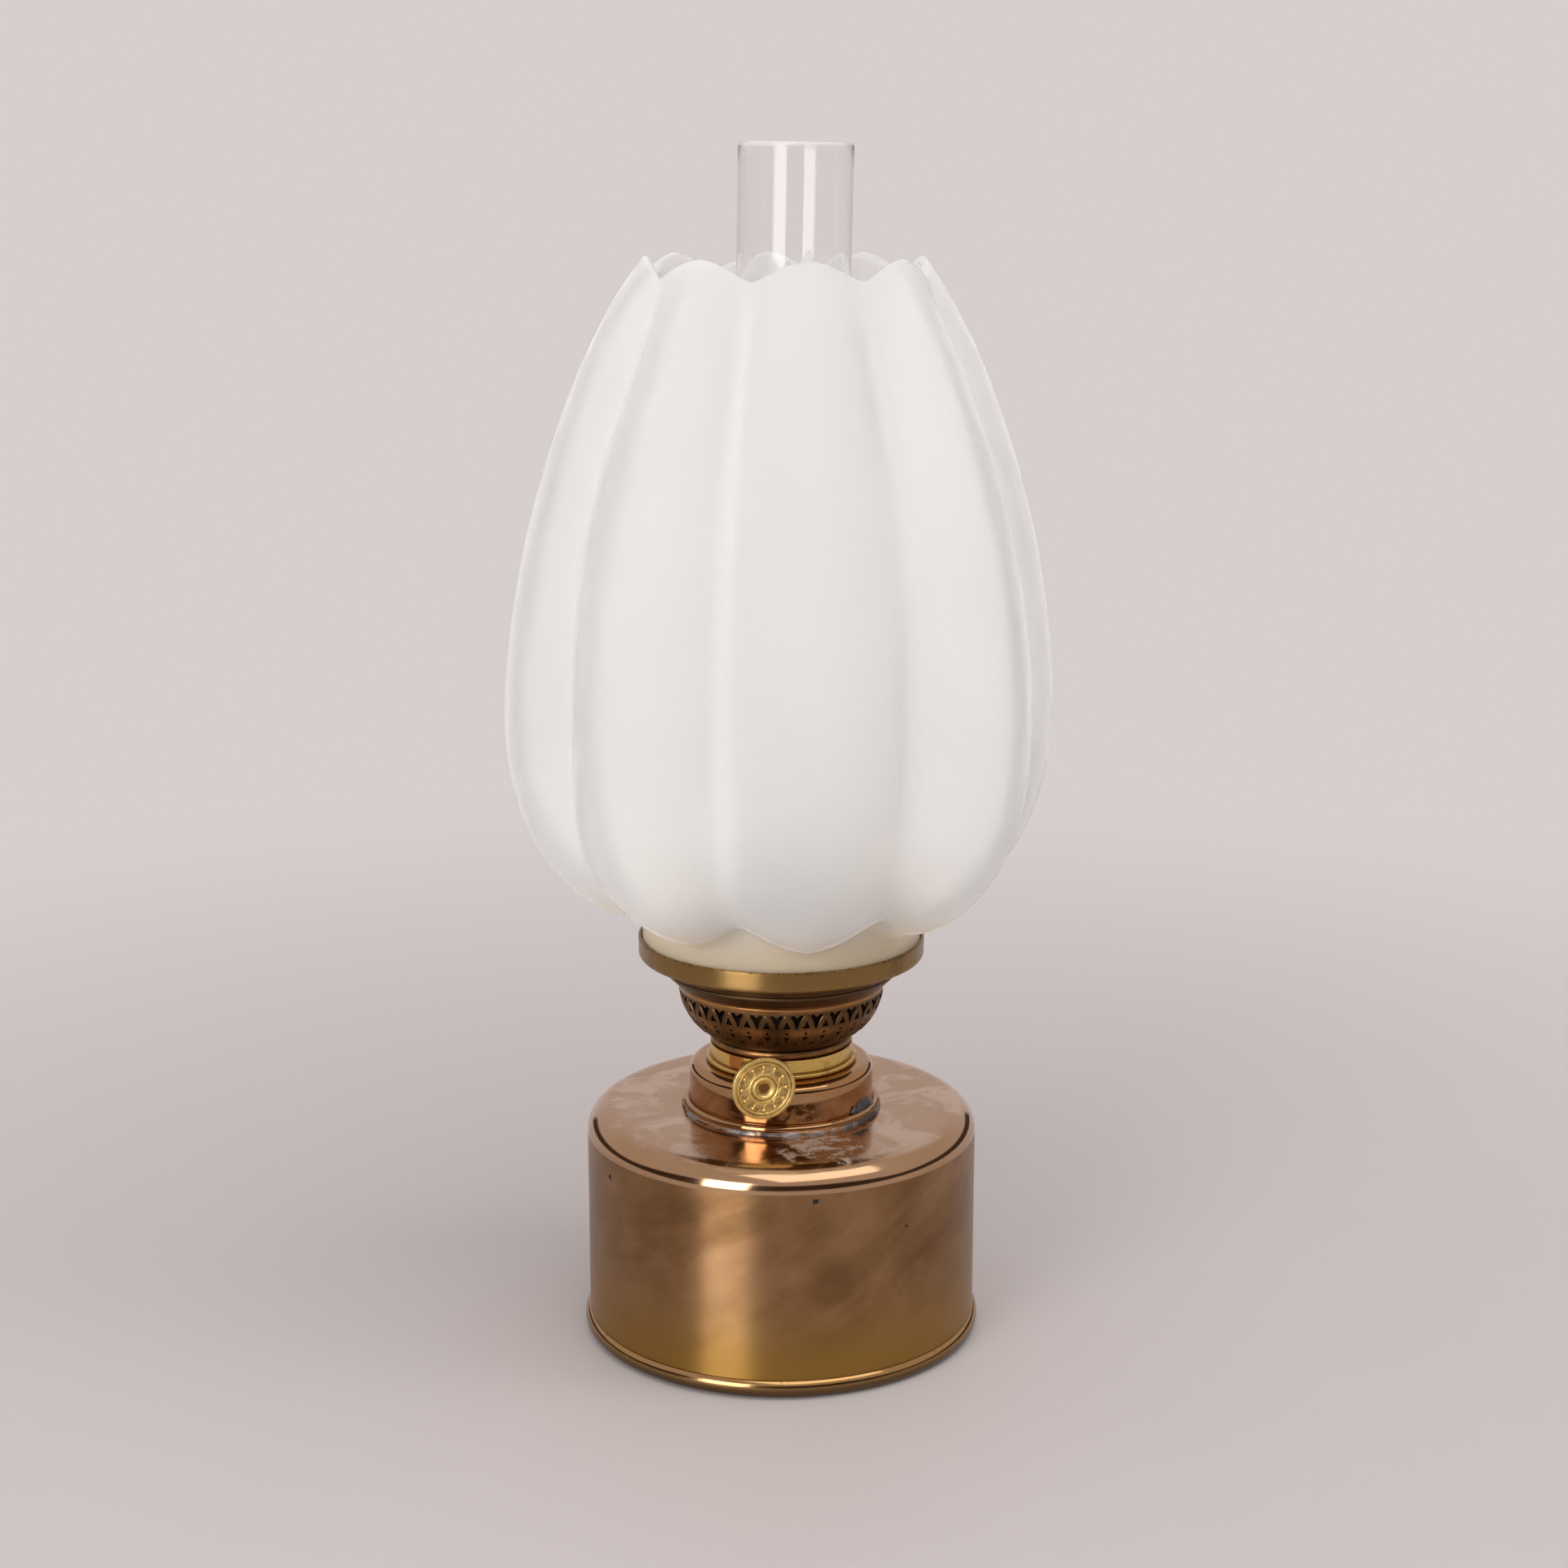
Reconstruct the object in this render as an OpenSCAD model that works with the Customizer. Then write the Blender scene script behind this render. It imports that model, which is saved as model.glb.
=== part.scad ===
// Kerosene table lamp with a round wick, a side draught and a lobed glass shade.
// The lamp stands on the plane z = 0, its axis is Z, and the wick knob points along -Y.
// All sizes are in millimetres.

/* [Font] */
// Outside radius of the font wall
font_r = 60; // [52:0.5:75]
// Height of the font's flat top above the table
font_h = 70.6; // [55:0.2:110]
// Sheet thickness of the font
font_wall = 0.9; // [0.6:0.1:1.4]
// Radius of the rounded shoulder
shoulder_r = 7.1; // [4:0.1:11]
// Height of the rolled foot bead
foot_bead = 6.1; // [5:0.1:8]
// How far the foot bead stands out from the wall
foot_out = 1.45; // [0.8:0.05:2]
// Width of the flat ring that the base disc is soldered to
foot_ledge = 4; // [2:0.5:8]

/* [Neck] */
// Outside radius of the neck collar
neck_r = 28.3; // [26.5:0.1:34]
// Height of the neck collar above the font's top
neck_h = 14.9; // [13:0.1:20]
// Sheet thickness of the neck collar
neck_wall = 1.1; // [0.8:0.1:1.6]
// Radius of the neck's rounded top edge
neck_edge = 3; // [1.8:0.1:4]
// Radius of the bead round the neck's base
neck_bead = 1.3; // [0.8:0.1:1.8]
// Width of the solder line round the neck's base
solder_w = 0.8; // [0.4:0.1:1.4]
// Height of the solder bed under the neck's bead
solder_h = 0.7; // [0.3:0.1:1.2]

/* [Burner] */
// Radius of the screwed skirt, without its thread
skirt_r = 20.2; // [19:0.1:21.5]
// Length of the screwed skirt below the flange
skirt_h = 8.5; // [7:0.1:11]
// Height of the thread ridges
thread_h = 0.35; // [0.2:0.05:0.5]
// Number of thread ridges
thread_turns = 4; // [2:1:5]
// How far the flange that sits on the neck stands out from the drum
flange_out = 1.3; // [0.8:0.1:2]
// Thickness of the flange lip
flange_h = 1.7; // [1.2:0.1:2.4]
// Radius of the drum above the flange
drum_r = 21.9; // [21.7:0.1:23]
// Height of the drum above the flange
drum_h = 4.1; // [3.9:0.1:6]
// Sheet thickness of the burner
burner_wall = 0.7; // [0.5:0.05:0.9]
// How far the spigot that the gallery slips over lies inside the drum wall
spigot_in = 3.3; // [3.1:0.1:3.6]
// Height of the spigot
spigot_h = 3.6; // [2.8:0.1:4]
// Thickness of the floor and deck discs
disc_t = 0.8; // [0.6:0.1:1.2]

/* [Wick] */
// Outside radius of the wick tube
tube_r = 12.5; // [11.8:0.1:13]
// Sheet thickness of the wick tube and the air tube
tube_wall = 0.5; // [0.4:0.05:0.6]
// Thickness of the woven wick
wick_t = 2.8; // [2.4:0.1:3.2]
// Height of the wick tube's mouth above the drum
tube_rise = 54.7; // [48:0.1:58]
// How far the wick stands above the tube's mouth at rest
wick_show = 1.5; // [0:0.1:3]
// Height of the wick's lower end above the table
wick_low = 20; // [18:0.5:30]
// Width of the air inlet to the middle of the wick
inlet_w = 8; // [6:0.5:9]
// Height of the air inlet
inlet_h = 8; // [6:0.5:9]
// How far the wick can be wound down
wick_down = 9; // [6:0.5:10]

/* [Knob and spindle] */
// Radius of the wick spindle
spindle_r = 1.2; // [1:0.05:1.3]
// Radius of the wick wheels over their teeth
wheel_r = 2.93; // [2.7:0.01:3]
// How far the knob's front face lies from the lamp's axis
knob_reach = 37.3; // [35:0.1:50]
// Radius of the knob
knob_r = 9.6; // [8.5:0.1:11]
// Thickness of the knob's disc
knob_t = 1.6; // [1.2:0.1:2.4]
// Number of pearls on the knob's face
knob_pearls = 12; // [8:1:16]
// Teeth on each wick wheel
wheel_teeth = 12; // [8:1:16]
// Thickness of each wick wheel
wheel_t = 1.4; // [1:0.1:1.8]
// Distance between the two wick wheels
wheel_gap = 6; // [5:0.1:6.4]

/* [Gallery] */
// Largest radius of the pierced bowl
bowl_r = 31.3; // [30:0.1:33]
// How far the bowl's foot lies inside the bead below it
bowl_step = 0.56; // [0.3:0.02:0.8]
// Height from the drum to the widest part of the bowl
bowl_h = 18.8; // [18.4:0.1:19.4]
// Sheet thickness of the gallery
bowl_wall = 0.8; // [0.6:0.05:1]
// Height of the bead at the bottom of the bowl
bowl_bead = 2.8; // [2.4:0.1:3]
// Number of pierced ovals round the bowl
bowl_motifs = 32; // [24:1:36]
// Width and height of the flared lip above the bowl
lip_flare = 4.4; // [3.5:0.1:5.5]
// Gap between the shade's fitter and the holder's upright rim
rim_gap = 0.5; // [0.3:0.1:2]
// Height of the upright rim above the holder's floor
rim_h = 5.6; // [4:0.1:9]
// Height of the holder's floor above the lip
holder_rise = 4.6; // [3.5:0.1:5.5]
// Sheet thickness of the shade holder
holder_wall = 0.8; // [0.6:0.05:1]
// Number of spring fingers that hold the chimney
prongs = 8; // [6:2:12]
// Height of the spring fingers above their seat
prong_h = 18; // [12:0.5:22]

/* [Shade] */
// Outside radius of the shade's fitter
fitter_r = 42.3; // [41:0.1:46]
// Glass thickness of the shade
shade_t = 2.6; // [2.2:0.1:3]
// Height of the shade from its fitter to the tips of its rim
shade_h = 208.8; // [190:0.2:230]
// Height of the fitter at the middle of a lobe
fitter_h = 11.9; // [9:0.1:15]
// How much higher the fitter reaches between two lobes
fitter_scallop = 4.9; // [2:0.1:7]
// Radius of the belly at the middle of a lobe
belly_r = 83.1; // [76:0.1:92]
// Height of the belly above the fitter's foot
belly_h = 74.6; // [68:0.2:82]
// Depth of the groove between two lobes at the belly
groove_depth = 11.4; // [4:0.1:13]
// How much higher the groove is widest than the lobe
groove_lift = 3.6; // [0:0.2:10]
// Radius of the rim at the tip of a lobe
tip_r = 40.6; // [38:0.1:48]
// Depth of the scallops in the rim
rim_scallop = 6; // [2:0.1:9]
// Number of lobes
lobes = 8; // [6:1:10]
// Softness of the creases between the lobes
crease_soft = 0.07; // [0.02:0.01:0.3]
// Turn of the shade in its holder
shade_turn = -5.1; // [-22:0.1:22]
// Lean of the shade in its holder
shade_lean = 0.3; // [0:0.1:0.5]

/* [Chimney] */
// Outside radius of the chimney's foot
foot_glass_r = 23.75; // [22.5:0.05:24.2]
// Outside radius of the chimney's tube
flue_r = 16.7; // [15.5:0.1:18]
// Outside radius of the chimney's waist
waist_r = 15.6; // [14.6:0.1:16.5]
// Glass thickness of the chimney
glass_t = 1.8; // [1.4:0.1:2.2]
// Length of the chimney
chimney_h = 248.4; // [220:0.2:270]
// Height of the waist above the chimney's foot
waist_h = 48; // [45:0.5:54]
// Lean of the chimney on its seat
chimney_lean = 1; // [0:0.1:1.2]

/* [Fits] */
// Running clearance of the spindle in its bearings
run_gap = 0.06; // [0.03:0.01:0.09]
// Slip clearance between pieces that lift apart
slip_gap = 0.3; // [0.2:0.05:0.4]

/* [Hidden] */
$fn = 96;

// How far a cutter reaches past the face that it cuts
over = 1;

// Heights of the main seats
z_neck = font_h + neck_h;
z_flange = z_neck + flange_h;
z_drum = z_flange + drum_h;
z_deck = z_drum + spigot_h;
z_floor = z_neck - skirt_h;
z_spindle = (z_flange + z_drum - burner_wall) / 2;
z_mouth = z_drum + tube_rise;
z_bowl = z_drum + bowl_h;
z_ledge = z_bowl + bowl_wall;
z_seat = z_ledge + disc_t;
z_lip = z_ledge + lip_flare;
z_holder = z_lip + holder_rise;

// Font
foot_c = font_r + foot_out - foot_bead / 2;
z_crease = foot_bead / 2 + sqrt(pow(foot_bead / 2, 2) - pow(font_r - foot_c, 2));
shell_in = font_r - font_wall;
ledge_in = shell_in - foot_ledge;

// Neck and screw thread
neck_in = neck_r - neck_wall;
neck_lap = 1;
bead_stand = 0.7;
bead_c = neck_r + neck_bead * bead_stand;
z_bead = font_h + solder_h + neck_bead;
solder_dip = 0.3;
flange_r = drum_r + flange_out;
spigot_r = drum_r - spigot_in;
collar_in = skirt_r + thread_h + slip_gap;
collar_wall = 1;
collar_flange = 1.2;
thread_pitch = (skirt_h - flange_h) / thread_turns;

// Wick, its tubes and the air inlet
wick_out = tube_r - tube_wall - slip_gap;
wick_in = wick_out - wick_t;
air_r = wick_in - slip_gap;
z_inlet = z_deck + disc_t + slip_gap;
z_slot = z_inlet + inlet_h + wick_down + slip_gap;
tube_tail = 5;
inlet_play = 4 * slip_gap;

// Spindle, bearings and wheels
wheel_y = wheel_gap / 2;
wheel_near = wheel_y + wheel_t / 2;
spindle_off = wheel_r + slip_gap + sqrt(pow(wick_out, 2) - pow(wheel_y - wheel_t / 2, 2));
bush_wall = 0.4;
bush_r = spindle_r + run_gap + bush_wall;
drum_y = sqrt(pow(drum_r, 2) - pow(spindle_off, 2));
bush_len = 6;
bush_out = 1.5;
tooth_h = 0.8;
bracket_t = 1.6;
bracket_y = wheel_near + slip_gap;
bracket_left = 2.5;
bracket_right = 1.9;
knob_back = knob_reach - knob_t;
hub_r = 3.4;
hub_bead = 0.6;
hub_len = 2.4;
ring_r = knob_r - 1.4;
ring_bead = 0.4;
pearl_at = knob_r - 2.9;
pearl_r = 0.65;
rivet_r = spindle_r + 0.4;
rivet_deep = 0.9;
rivet_below = 0.3;
spindle_end = 0.5;

// Bowl of the gallery
bead_in = spigot_r + slip_gap;
bead_out = drum_r - 0.1;
bowl_drop = bowl_h - bowl_bead;
bowl_swell = bowl_r - bead_out + bowl_step;
bowl_round = (pow(bowl_drop, 2) + pow(bowl_swell, 2)) / (2 * bowl_swell);
bowl_c = bowl_r - bowl_round;
bowl_sink = 0.6;
band_r = 1.5;
band_out = 0.3;
z_band = z_bowl - band_r / 2;
ledge_w = 1.6;
seat_r = bowl_r - bowl_wall - slip_gap;
lip_r = bowl_r + lip_flare;
dish_in = bowl_r + 1;
dish_step = fitter_r - shade_t;
rim_in = fitter_r + rim_gap;
holder_r = rim_in + holder_wall;
seat_hole = tube_r + 1.5;
prong_t = 0.6;
prong_in = foot_glass_r + slip_gap + prong_h * sin(chimney_lean);
prong_foot = 2.4;
prong_waist = 0.6 * prong_h;
prong_flange = 2;
prong_flare = 1;
prong_gap = 0.46 * 2 * PI * prong_in / prongs;
vent_r = 1.5;
vents = 18;
vent_at = (seat_hole + foot_glass_r - glass_t) / 2;
seat_rivets = 4;
seat_rivet_r = 0.6;
seat_rivet_h = 0.5;
seat_rivet_at = prong_in + (prong_t + prong_flange) / 2;
clamp_out = dish_in + 2.4;
clamp_in = dish_in - 1;
holder_edge = 1.4;

// Pierced holes of the bowl: each outline lies at an angle below the bowl's widest ring
arch_hole = [[-2, 0], [1.2, -1], [1.2, 1]];
arch_drop = 18;
dot_hole = 0.55;
dot_drop = 30;
wedge_hole = [[1, 0], [-0.8, -0.6], [-0.8, 0.6]];
wedge_drop = 40;
fork_hole = [[-1.6, -1.1], [-0.9, 0], [-1.6, 1.1], [1.6, 0]];
fork_drop = 16;

// Seats of the two glasses, which lean on their low edges
z_chimney = z_seat + foot_glass_r * sin(chimney_lean) + run_gap;
z_shade = z_holder + fitter_r * sin(shade_lean) + run_gap;
lean_heading = -14.4;
cone_h = 20;
flare_h = 12;

// Shade curves: each is a lower and an upper cubic, [radius, height] above the fitter's foot
groove_out = 1.8;
lobe_foot = [fitter_r, fitter_h];
lobe_mid = [belly_r, belly_h];
lobe_tip = [tip_r, shade_h];
groove_foot = [fitter_r, fitter_h + fitter_scallop];
groove_mid = [belly_r - groove_depth, belly_h + groove_lift];
groove_tip = [tip_r + groove_out, shade_h - rim_scallop];
lobe_rise = 2;
lobe_low = [18.4, 42.6];
lobe_high = [41.7, 35.5];
lobe_lean = 41;
groove_rise = 18;
groove_low = [35.7, 26.8];
groove_high = [73.9, 38.5];
groove_lean = 11.5;
shade_rows = 9;
shade_cols = 12;

function cubic(p, t) =
    pow(1 - t, 3) * p[0] + 3 * pow(1 - t, 2) * t * p[1] + 3 * (1 - t) * pow(t, 2) * p[2]
    + pow(t, 3) * p[3];
function slope(p, t) =
    3 * pow(1 - t, 2) * (p[1] - p[0]) + 6 * (1 - t) * t * (p[2] - p[1]) + 3 * pow(t, 2) * (p[3] - p[2]);
function low_curve(foot, mid, rise, pull) =
    [foot, foot + pull[0] * [cos(rise), sin(rise)], mid - [0, pull[1]], mid];
function high_curve(mid, tip, lean, pull) =
    [mid, mid + [0, pull[0]], tip + pull[1] * [sin(lean), -cos(lean)], tip];

// A point of a curve moved towards the axis by the depth of glass
function inward(p, t, depth) =
    let(d = slope(p, t), n = [d[1], -d[0]] / norm(d)) cubic(p, t) - depth * n;
function half_rows(p, depth, first) =
    [for (i = [first:shade_rows]) inward(p, i / shade_rows, depth)];
function corner(foot, rise, depth) =
    foot + [-depth, depth * (cos(rise) - (1 - sin(rise)) * tan(rise))];

lobe_low_curve = low_curve(lobe_foot, lobe_mid, lobe_rise, lobe_low);
lobe_high_curve = high_curve(lobe_mid, lobe_tip, lobe_lean, lobe_high);
groove_low_curve = low_curve(groove_foot, groove_mid, groove_rise, groove_low);
groove_high_curve = high_curve(groove_mid, groove_tip, groove_lean, groove_high);

function wall_rows(foot, rise, low, high, depth) = concat(
    [[foot[0] - depth, 0], corner(foot, rise, depth)],
    half_rows(low, depth, 1), half_rows(high, depth, 1));
function lobe_rows(depth) =
    wall_rows(lobe_foot, lobe_rise, lobe_low_curve, lobe_high_curve, depth);
function groove_rows(depth) =
    wall_rows(groove_foot, groove_rise, groove_low_curve, groove_high_curve, depth);
function backwards(rows) = [for (i = [len(rows) - 1:-1:0]) rows[i]];

// Share of the lobe in the section at an angle: 1 on a lobe, 0 in a soft crease
function soft(w) = sqrt(pow(w, 2) + pow(crease_soft, 2)) - crease_soft;
function arch(w) = 2 * w - pow(w, 2);
function lobe_share(a) =
    let(u = (lobes * a / 180 + 1) % 2 - 1)
        arch(soft(1 - abs(u))) / arch(soft(1));

// Ring solids
module tube(r_out, r_in, h) {
    difference() {
        cylinder(r = r_out, h = h);
        translate([0, 0, -over]) cylinder(r = r_in, h = h + 2 * over);
    }
}

module ring_box(r_in, r_out, z_low, z_high) {
    translate([r_in, z_low]) square([r_out - r_in, z_high - z_low]);
}

// A bar along -Y at the spindle's axis, from y_far to y_near
module spindle_bar(r, y_far, y_near) {
    translate([-spindle_off, y_near, z_spindle]) rotate([90, 0, 0]) cylinder(r = r, h = y_near - y_far);
}

// Outline of a drum with a rounded top edge
module drum_outline(r, z_low, z_top, edge) {
    ring_box(0, r, z_low, z_top - edge);
    ring_box(0, r - edge, z_low, z_top);
    translate([r - edge, z_top - edge]) circle(r = edge);
}

// Ridges or grooves of the screw thread, seen in section
module thread_rows(r) {
    for (i = [0:thread_turns - 1])
        translate([r, z_floor + thread_pitch * (i + 0.5)])
            rotate(45) square(thread_h * sqrt(2), center = true);
}

// Font
module font_shell() {
    color("peru") rotate_extrude() difference() {
        drum_outline(font_r, z_crease, font_h, shoulder_r);
        drum_outline(shell_in, z_crease - over, font_h - font_wall, shoulder_r - font_wall);
        ring_box(-over, neck_in - neck_lap, z_crease - over, font_h + over);
    }
}

module font_foot() {
    color("goldenrod") rotate_extrude() difference() {
        union() {
            translate([foot_c, foot_bead / 2]) circle(r = foot_bead / 2);
            ring_box(ledge_in, foot_c, 0, z_crease);
            ring_box(ledge_in, font_r, foot_bead / 2, z_crease);
        }
        ring_box(ledge_in - over, font_r, z_crease, foot_bead + over);
    }
}

module font_base() {
    color("tan") translate([0, 0, z_crease]) cylinder(r = shell_in - run_gap, h = font_wall);
}

module neck_collar() {
    color("peru") rotate_extrude() difference() {
        union() {
            drum_outline(neck_r, font_h, z_neck, neck_edge);
            ring_box(neck_in, bead_c, font_h, z_bead);
            translate([bead_c, z_bead]) circle(r = neck_bead);
        }
        drum_outline(neck_in, font_h - over, z_neck - neck_wall, neck_edge - neck_wall);
        ring_box(-over, collar_in, font_h - over, z_neck + over);
    }
}

module neck_solder() {
    edge = bead_c + neck_bead;
    color("gray") rotate_extrude() difference() {
        polygon([
            [bead_c, font_h],
            [edge + solder_w, font_h],
            [edge, z_bead - solder_dip],
            [bead_c, z_bead]
        ]);
        translate([bead_c, z_bead]) circle(r = neck_bead);
    }
}

module screw_collar() {
    z_top = z_neck - neck_wall;
    color("darkkhaki") rotate_extrude() difference() {
        union() {
            ring_box(collar_in, collar_in + collar_wall, z_floor, z_top);
            ring_box(collar_in, neck_r - neck_edge - slip_gap, z_top - collar_flange, z_top);
        }
        thread_rows(collar_in);
    }
}

// Burner
module burner_base() {
    w = burner_wall;
    color("gold") difference() {
        rotate_extrude() {
            ring_box(skirt_r - w, skirt_r, z_floor, z_neck + w);
            ring_box(skirt_r - w, flange_r - flange_h / 2, z_neck, z_flange);
            translate([flange_r - flange_h / 2, z_neck + flange_h / 2]) circle(r = flange_h / 2);
            ring_box(drum_r - w, drum_r, z_neck, z_drum);
            ring_box(spigot_r - w, drum_r, z_drum - w, z_drum);
            ring_box(spigot_r - w, spigot_r, z_drum - w, z_deck);
            thread_rows(skirt_r);
        }
        spindle_bar(bush_r, -drum_r - over, 0);
    }
}

module burner_floor() {
    color("darkkhaki") translate([0, 0, z_floor - disc_t]) tube(skirt_r, tube_r, disc_t);
}

module burner_deck() {
    color("darkkhaki") translate([0, 0, z_deck]) tube(spigot_r, tube_r, disc_t);
}

module wick_tube() {
    z_low = z_floor - disc_t - tube_tail;
    color("gold") difference() {
        translate([0, 0, z_low]) tube(tube_r, tube_r - tube_wall, z_mouth - z_low);
        translate([-tube_r - over, -wheel_near - slip_gap, z_spindle - wheel_r - slip_gap])
            cube([tube_r, 2 * (wheel_near + slip_gap), 2 * (wheel_r + slip_gap)]);
        translate([-inlet_w / 2, 0, z_inlet]) cube([inlet_w, tube_r + over, inlet_h]);
    }
}

module air_tube() {
    z_low = z_inlet - tube_wall;
    color("tan") difference() {
        union() {
            translate([0, 0, z_low]) cylinder(r = air_r, h = z_mouth - z_low);
            intersection() {
                translate([-inlet_w / 2, 0, z_inlet]) cube([inlet_w, tube_r + over, inlet_h]);
                cylinder(r = tube_r, h = z_mouth);
            }
        }
        translate([0, 0, z_inlet]) cylinder(r = air_r - tube_wall, h = z_mouth);
        translate([tube_wall - inlet_w / 2, 0, z_inlet + tube_wall])
            cube([inlet_w - 2 * tube_wall, tube_r + over, inlet_h - 2 * tube_wall]);
    }
}

module spindle_bush() {
    color("gold") difference() {
        spindle_bar(bush_r, -drum_y - bush_out, bush_len - drum_y - bush_out);
        spindle_bar(spindle_r + run_gap, -drum_r - bush_out, 0);
    }
}

module bearing_bracket() {
    color("darkkhaki") difference() {
        translate([-spindle_off - bracket_left, bracket_y, z_floor])
            cube([bracket_left + bracket_right, bracket_t, z_spindle + bush_r - z_floor]);
        spindle_bar(spindle_r + run_gap, 0, drum_r);
    }
}

module spindle() {
    color("darkkhaki") spindle_bar(spindle_r, rivet_deep - knob_reach, bracket_y + bracket_t + spindle_end);
}

module knob_ring(r, bead) {
    translate([-spindle_off, -knob_reach, z_spindle]) rotate([90, 0, 0])
        rotate_extrude() translate([r, 0]) circle(r = bead);
}

module wick_knob() {
    face = -knob_reach;
    color("goldenrod") difference() {
        union() {
            spindle_bar(knob_r, face, -knob_back);
            spindle_bar(hub_r, -knob_back, hub_len - knob_back);
            knob_ring(ring_r, ring_bead);
            knob_ring(hub_r, hub_bead);
            for (i = [0:knob_pearls - 1])
                translate([-spindle_off, face, z_spindle]) rotate([0, i * 360 / knob_pearls, 0])
                    translate([pearl_at, 0, 0]) sphere(r = pearl_r);
        }
        spindle_bar(spindle_r, face - over, 0);
        spindle_bar(rivet_r, face - over, face + rivet_deep);
    }
}

module knob_rivet() {
    color("tan") spindle_bar(rivet_r, rivet_below - knob_reach, rivet_deep - knob_reach);
}

module wick_wheel(y) {
    step = 360 / wheel_teeth;
    color("gray") translate([-spindle_off, y + wheel_t / 2, z_spindle]) rotate([90, 0, 0])
        difference() {
            linear_extrude(wheel_t) polygon([
                for (i = [0:wheel_teeth - 1]) for (k = [0, 1])
                    (wheel_r - k * tooth_h) * [cos((i + k / 2) * step), sin((i + k / 2) * step)]
            ]);
            translate([0, 0, -over]) cylinder(r = spindle_r, h = wheel_t + 2 * over);
        }
}

module front_wheel() {
    wick_wheel(-wheel_y);
}

module rear_wheel() {
    wick_wheel(wheel_y);
}

module wick() {
    z_top = z_mouth + wick_show;
    color("ivory") difference() {
        translate([0, 0, wick_low]) tube(wick_out, wick_in, z_top - wick_low);
        translate([-(inlet_w + inlet_play) / 2, 0, wick_low - over])
            cube([inlet_w + inlet_play, tube_r, z_slot - wick_low + over]);
    }
}

// Gallery
module bowl_profile() {
    w = bowl_wall;
    intersection() {
        difference() {
            translate([bowl_c, z_bowl]) circle(r = bowl_round);
            translate([bowl_c, z_bowl]) circle(r = bowl_round - w);
        }
        ring_box(bead_in, bowl_r + over, z_drum + bowl_bead - bowl_sink, z_bowl);
    }
    ring_box(bead_in, bead_out - bowl_bead / 2, z_drum, z_drum + bowl_bead);
    translate([bead_out - bowl_bead / 2, z_drum + bowl_bead / 2]) circle(r = bowl_bead / 2);
    translate([bowl_r - band_r + band_out, z_band]) circle(r = band_r);
    ring_box(bowl_r - w - ledge_w, bowl_r, z_bowl, z_ledge);
    polygon([[bowl_r - w, z_bowl], [bowl_r, z_bowl], [lip_r, z_lip - w], [lip_r, z_lip],
             [lip_r - w, z_lip], [bowl_r - w, z_ledge]]);
}

// Places a cutter square to the bowl at a turn round the axis and an angle below its widest ring
module at_bowl(turn, drop) {
    rotate([0, 0, turn]) translate([bowl_c, 0, z_bowl]) rotate([0, drop, 0])
        translate([bowl_round - bowl_wall - over, 0, 0]) rotate([0, 90, 0])
            linear_extrude(bowl_wall + 2 * over) children();
}

module gallery_basket() {
    step = 360 / bowl_motifs;
    color("saddlebrown") difference() {
        rotate_extrude() bowl_profile();
        for (i = [0:bowl_motifs - 1]) {
            at_bowl(i * step, arch_drop) polygon(arch_hole);
            at_bowl(i * step, dot_drop) circle(r = dot_hole);
            at_bowl(i * step, wedge_drop) polygon(wedge_hole);
            at_bowl((i + 0.5) * step, fork_drop) polygon(fork_hole);
        }
    }
}

module chimney_seat() {
    color("darkkhaki") difference() {
        translate([0, 0, z_ledge]) tube(seat_r, seat_hole, disc_t);
        for (i = [0:vents - 1])
            rotate([0, 0, i * 360 / vents]) translate([vent_at, 0, z_ledge - over])
                cylinder(r = vent_r, h = disc_t + 2 * over);
    }
}

module chimney_prongs() {
    r = prong_in;
    t = prong_t;
    color("goldenrod") difference() {
        translate([0, 0, z_seat]) rotate_extrude() polygon([
            [r, 0], [r + prong_flange, 0], [r + prong_flange, t], [r + t, t], [r + t, prong_waist],
            [r + t + prong_flare, prong_h], [r + prong_flare, prong_h], [r, prong_waist]
        ]);
        for (i = [0:prongs - 1])
            rotate([0, 0, i * 360 / prongs]) translate([0, -prong_gap / 2, z_seat + prong_foot])
                cube([2 * r, prong_gap, prong_h]);
    }
}

module gallery_rivets() {
    color("tan") for (i = [0:seat_rivets - 1])
        rotate([0, 0, (i + 0.5) * 360 / seat_rivets]) translate([seat_rivet_at, 0, z_seat + prong_t])
            cylinder(r = seat_rivet_r, h = seat_rivet_h);
}

module holder_ring() {
    color("goldenrod") translate([0, 0, z_lip + holder_wall]) tube(clamp_out, clamp_in, disc_t);
}

module shade_holder() {
    w = holder_wall;
    edge = holder_edge;
    color("goldenrod") rotate_extrude() difference() {
        union() {
            polygon([[dish_in, z_lip], [lip_r, z_lip], [dish_step, z_holder - w], [dish_step, z_holder],
                     [dish_step - w, z_holder], [lip_r - w / 2, z_lip + w], [dish_in, z_lip + w]]);
            ring_box(dish_step - w / 2, holder_r - edge, z_holder - w, z_holder);
            translate([holder_r - edge, z_holder - w + edge]) circle(r = edge);
            ring_box(rim_in, holder_r, z_holder - w + edge, z_holder + rim_h);
        }
        ring_box(dish_step, rim_in, z_holder, z_holder + rim_h + over);
    }
}

// Glass
module lean_over(angle) {
    rotate([0, 0, lean_heading]) rotate([0, angle, 0]) rotate([0, 0, -lean_heading]) children();
}

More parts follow.
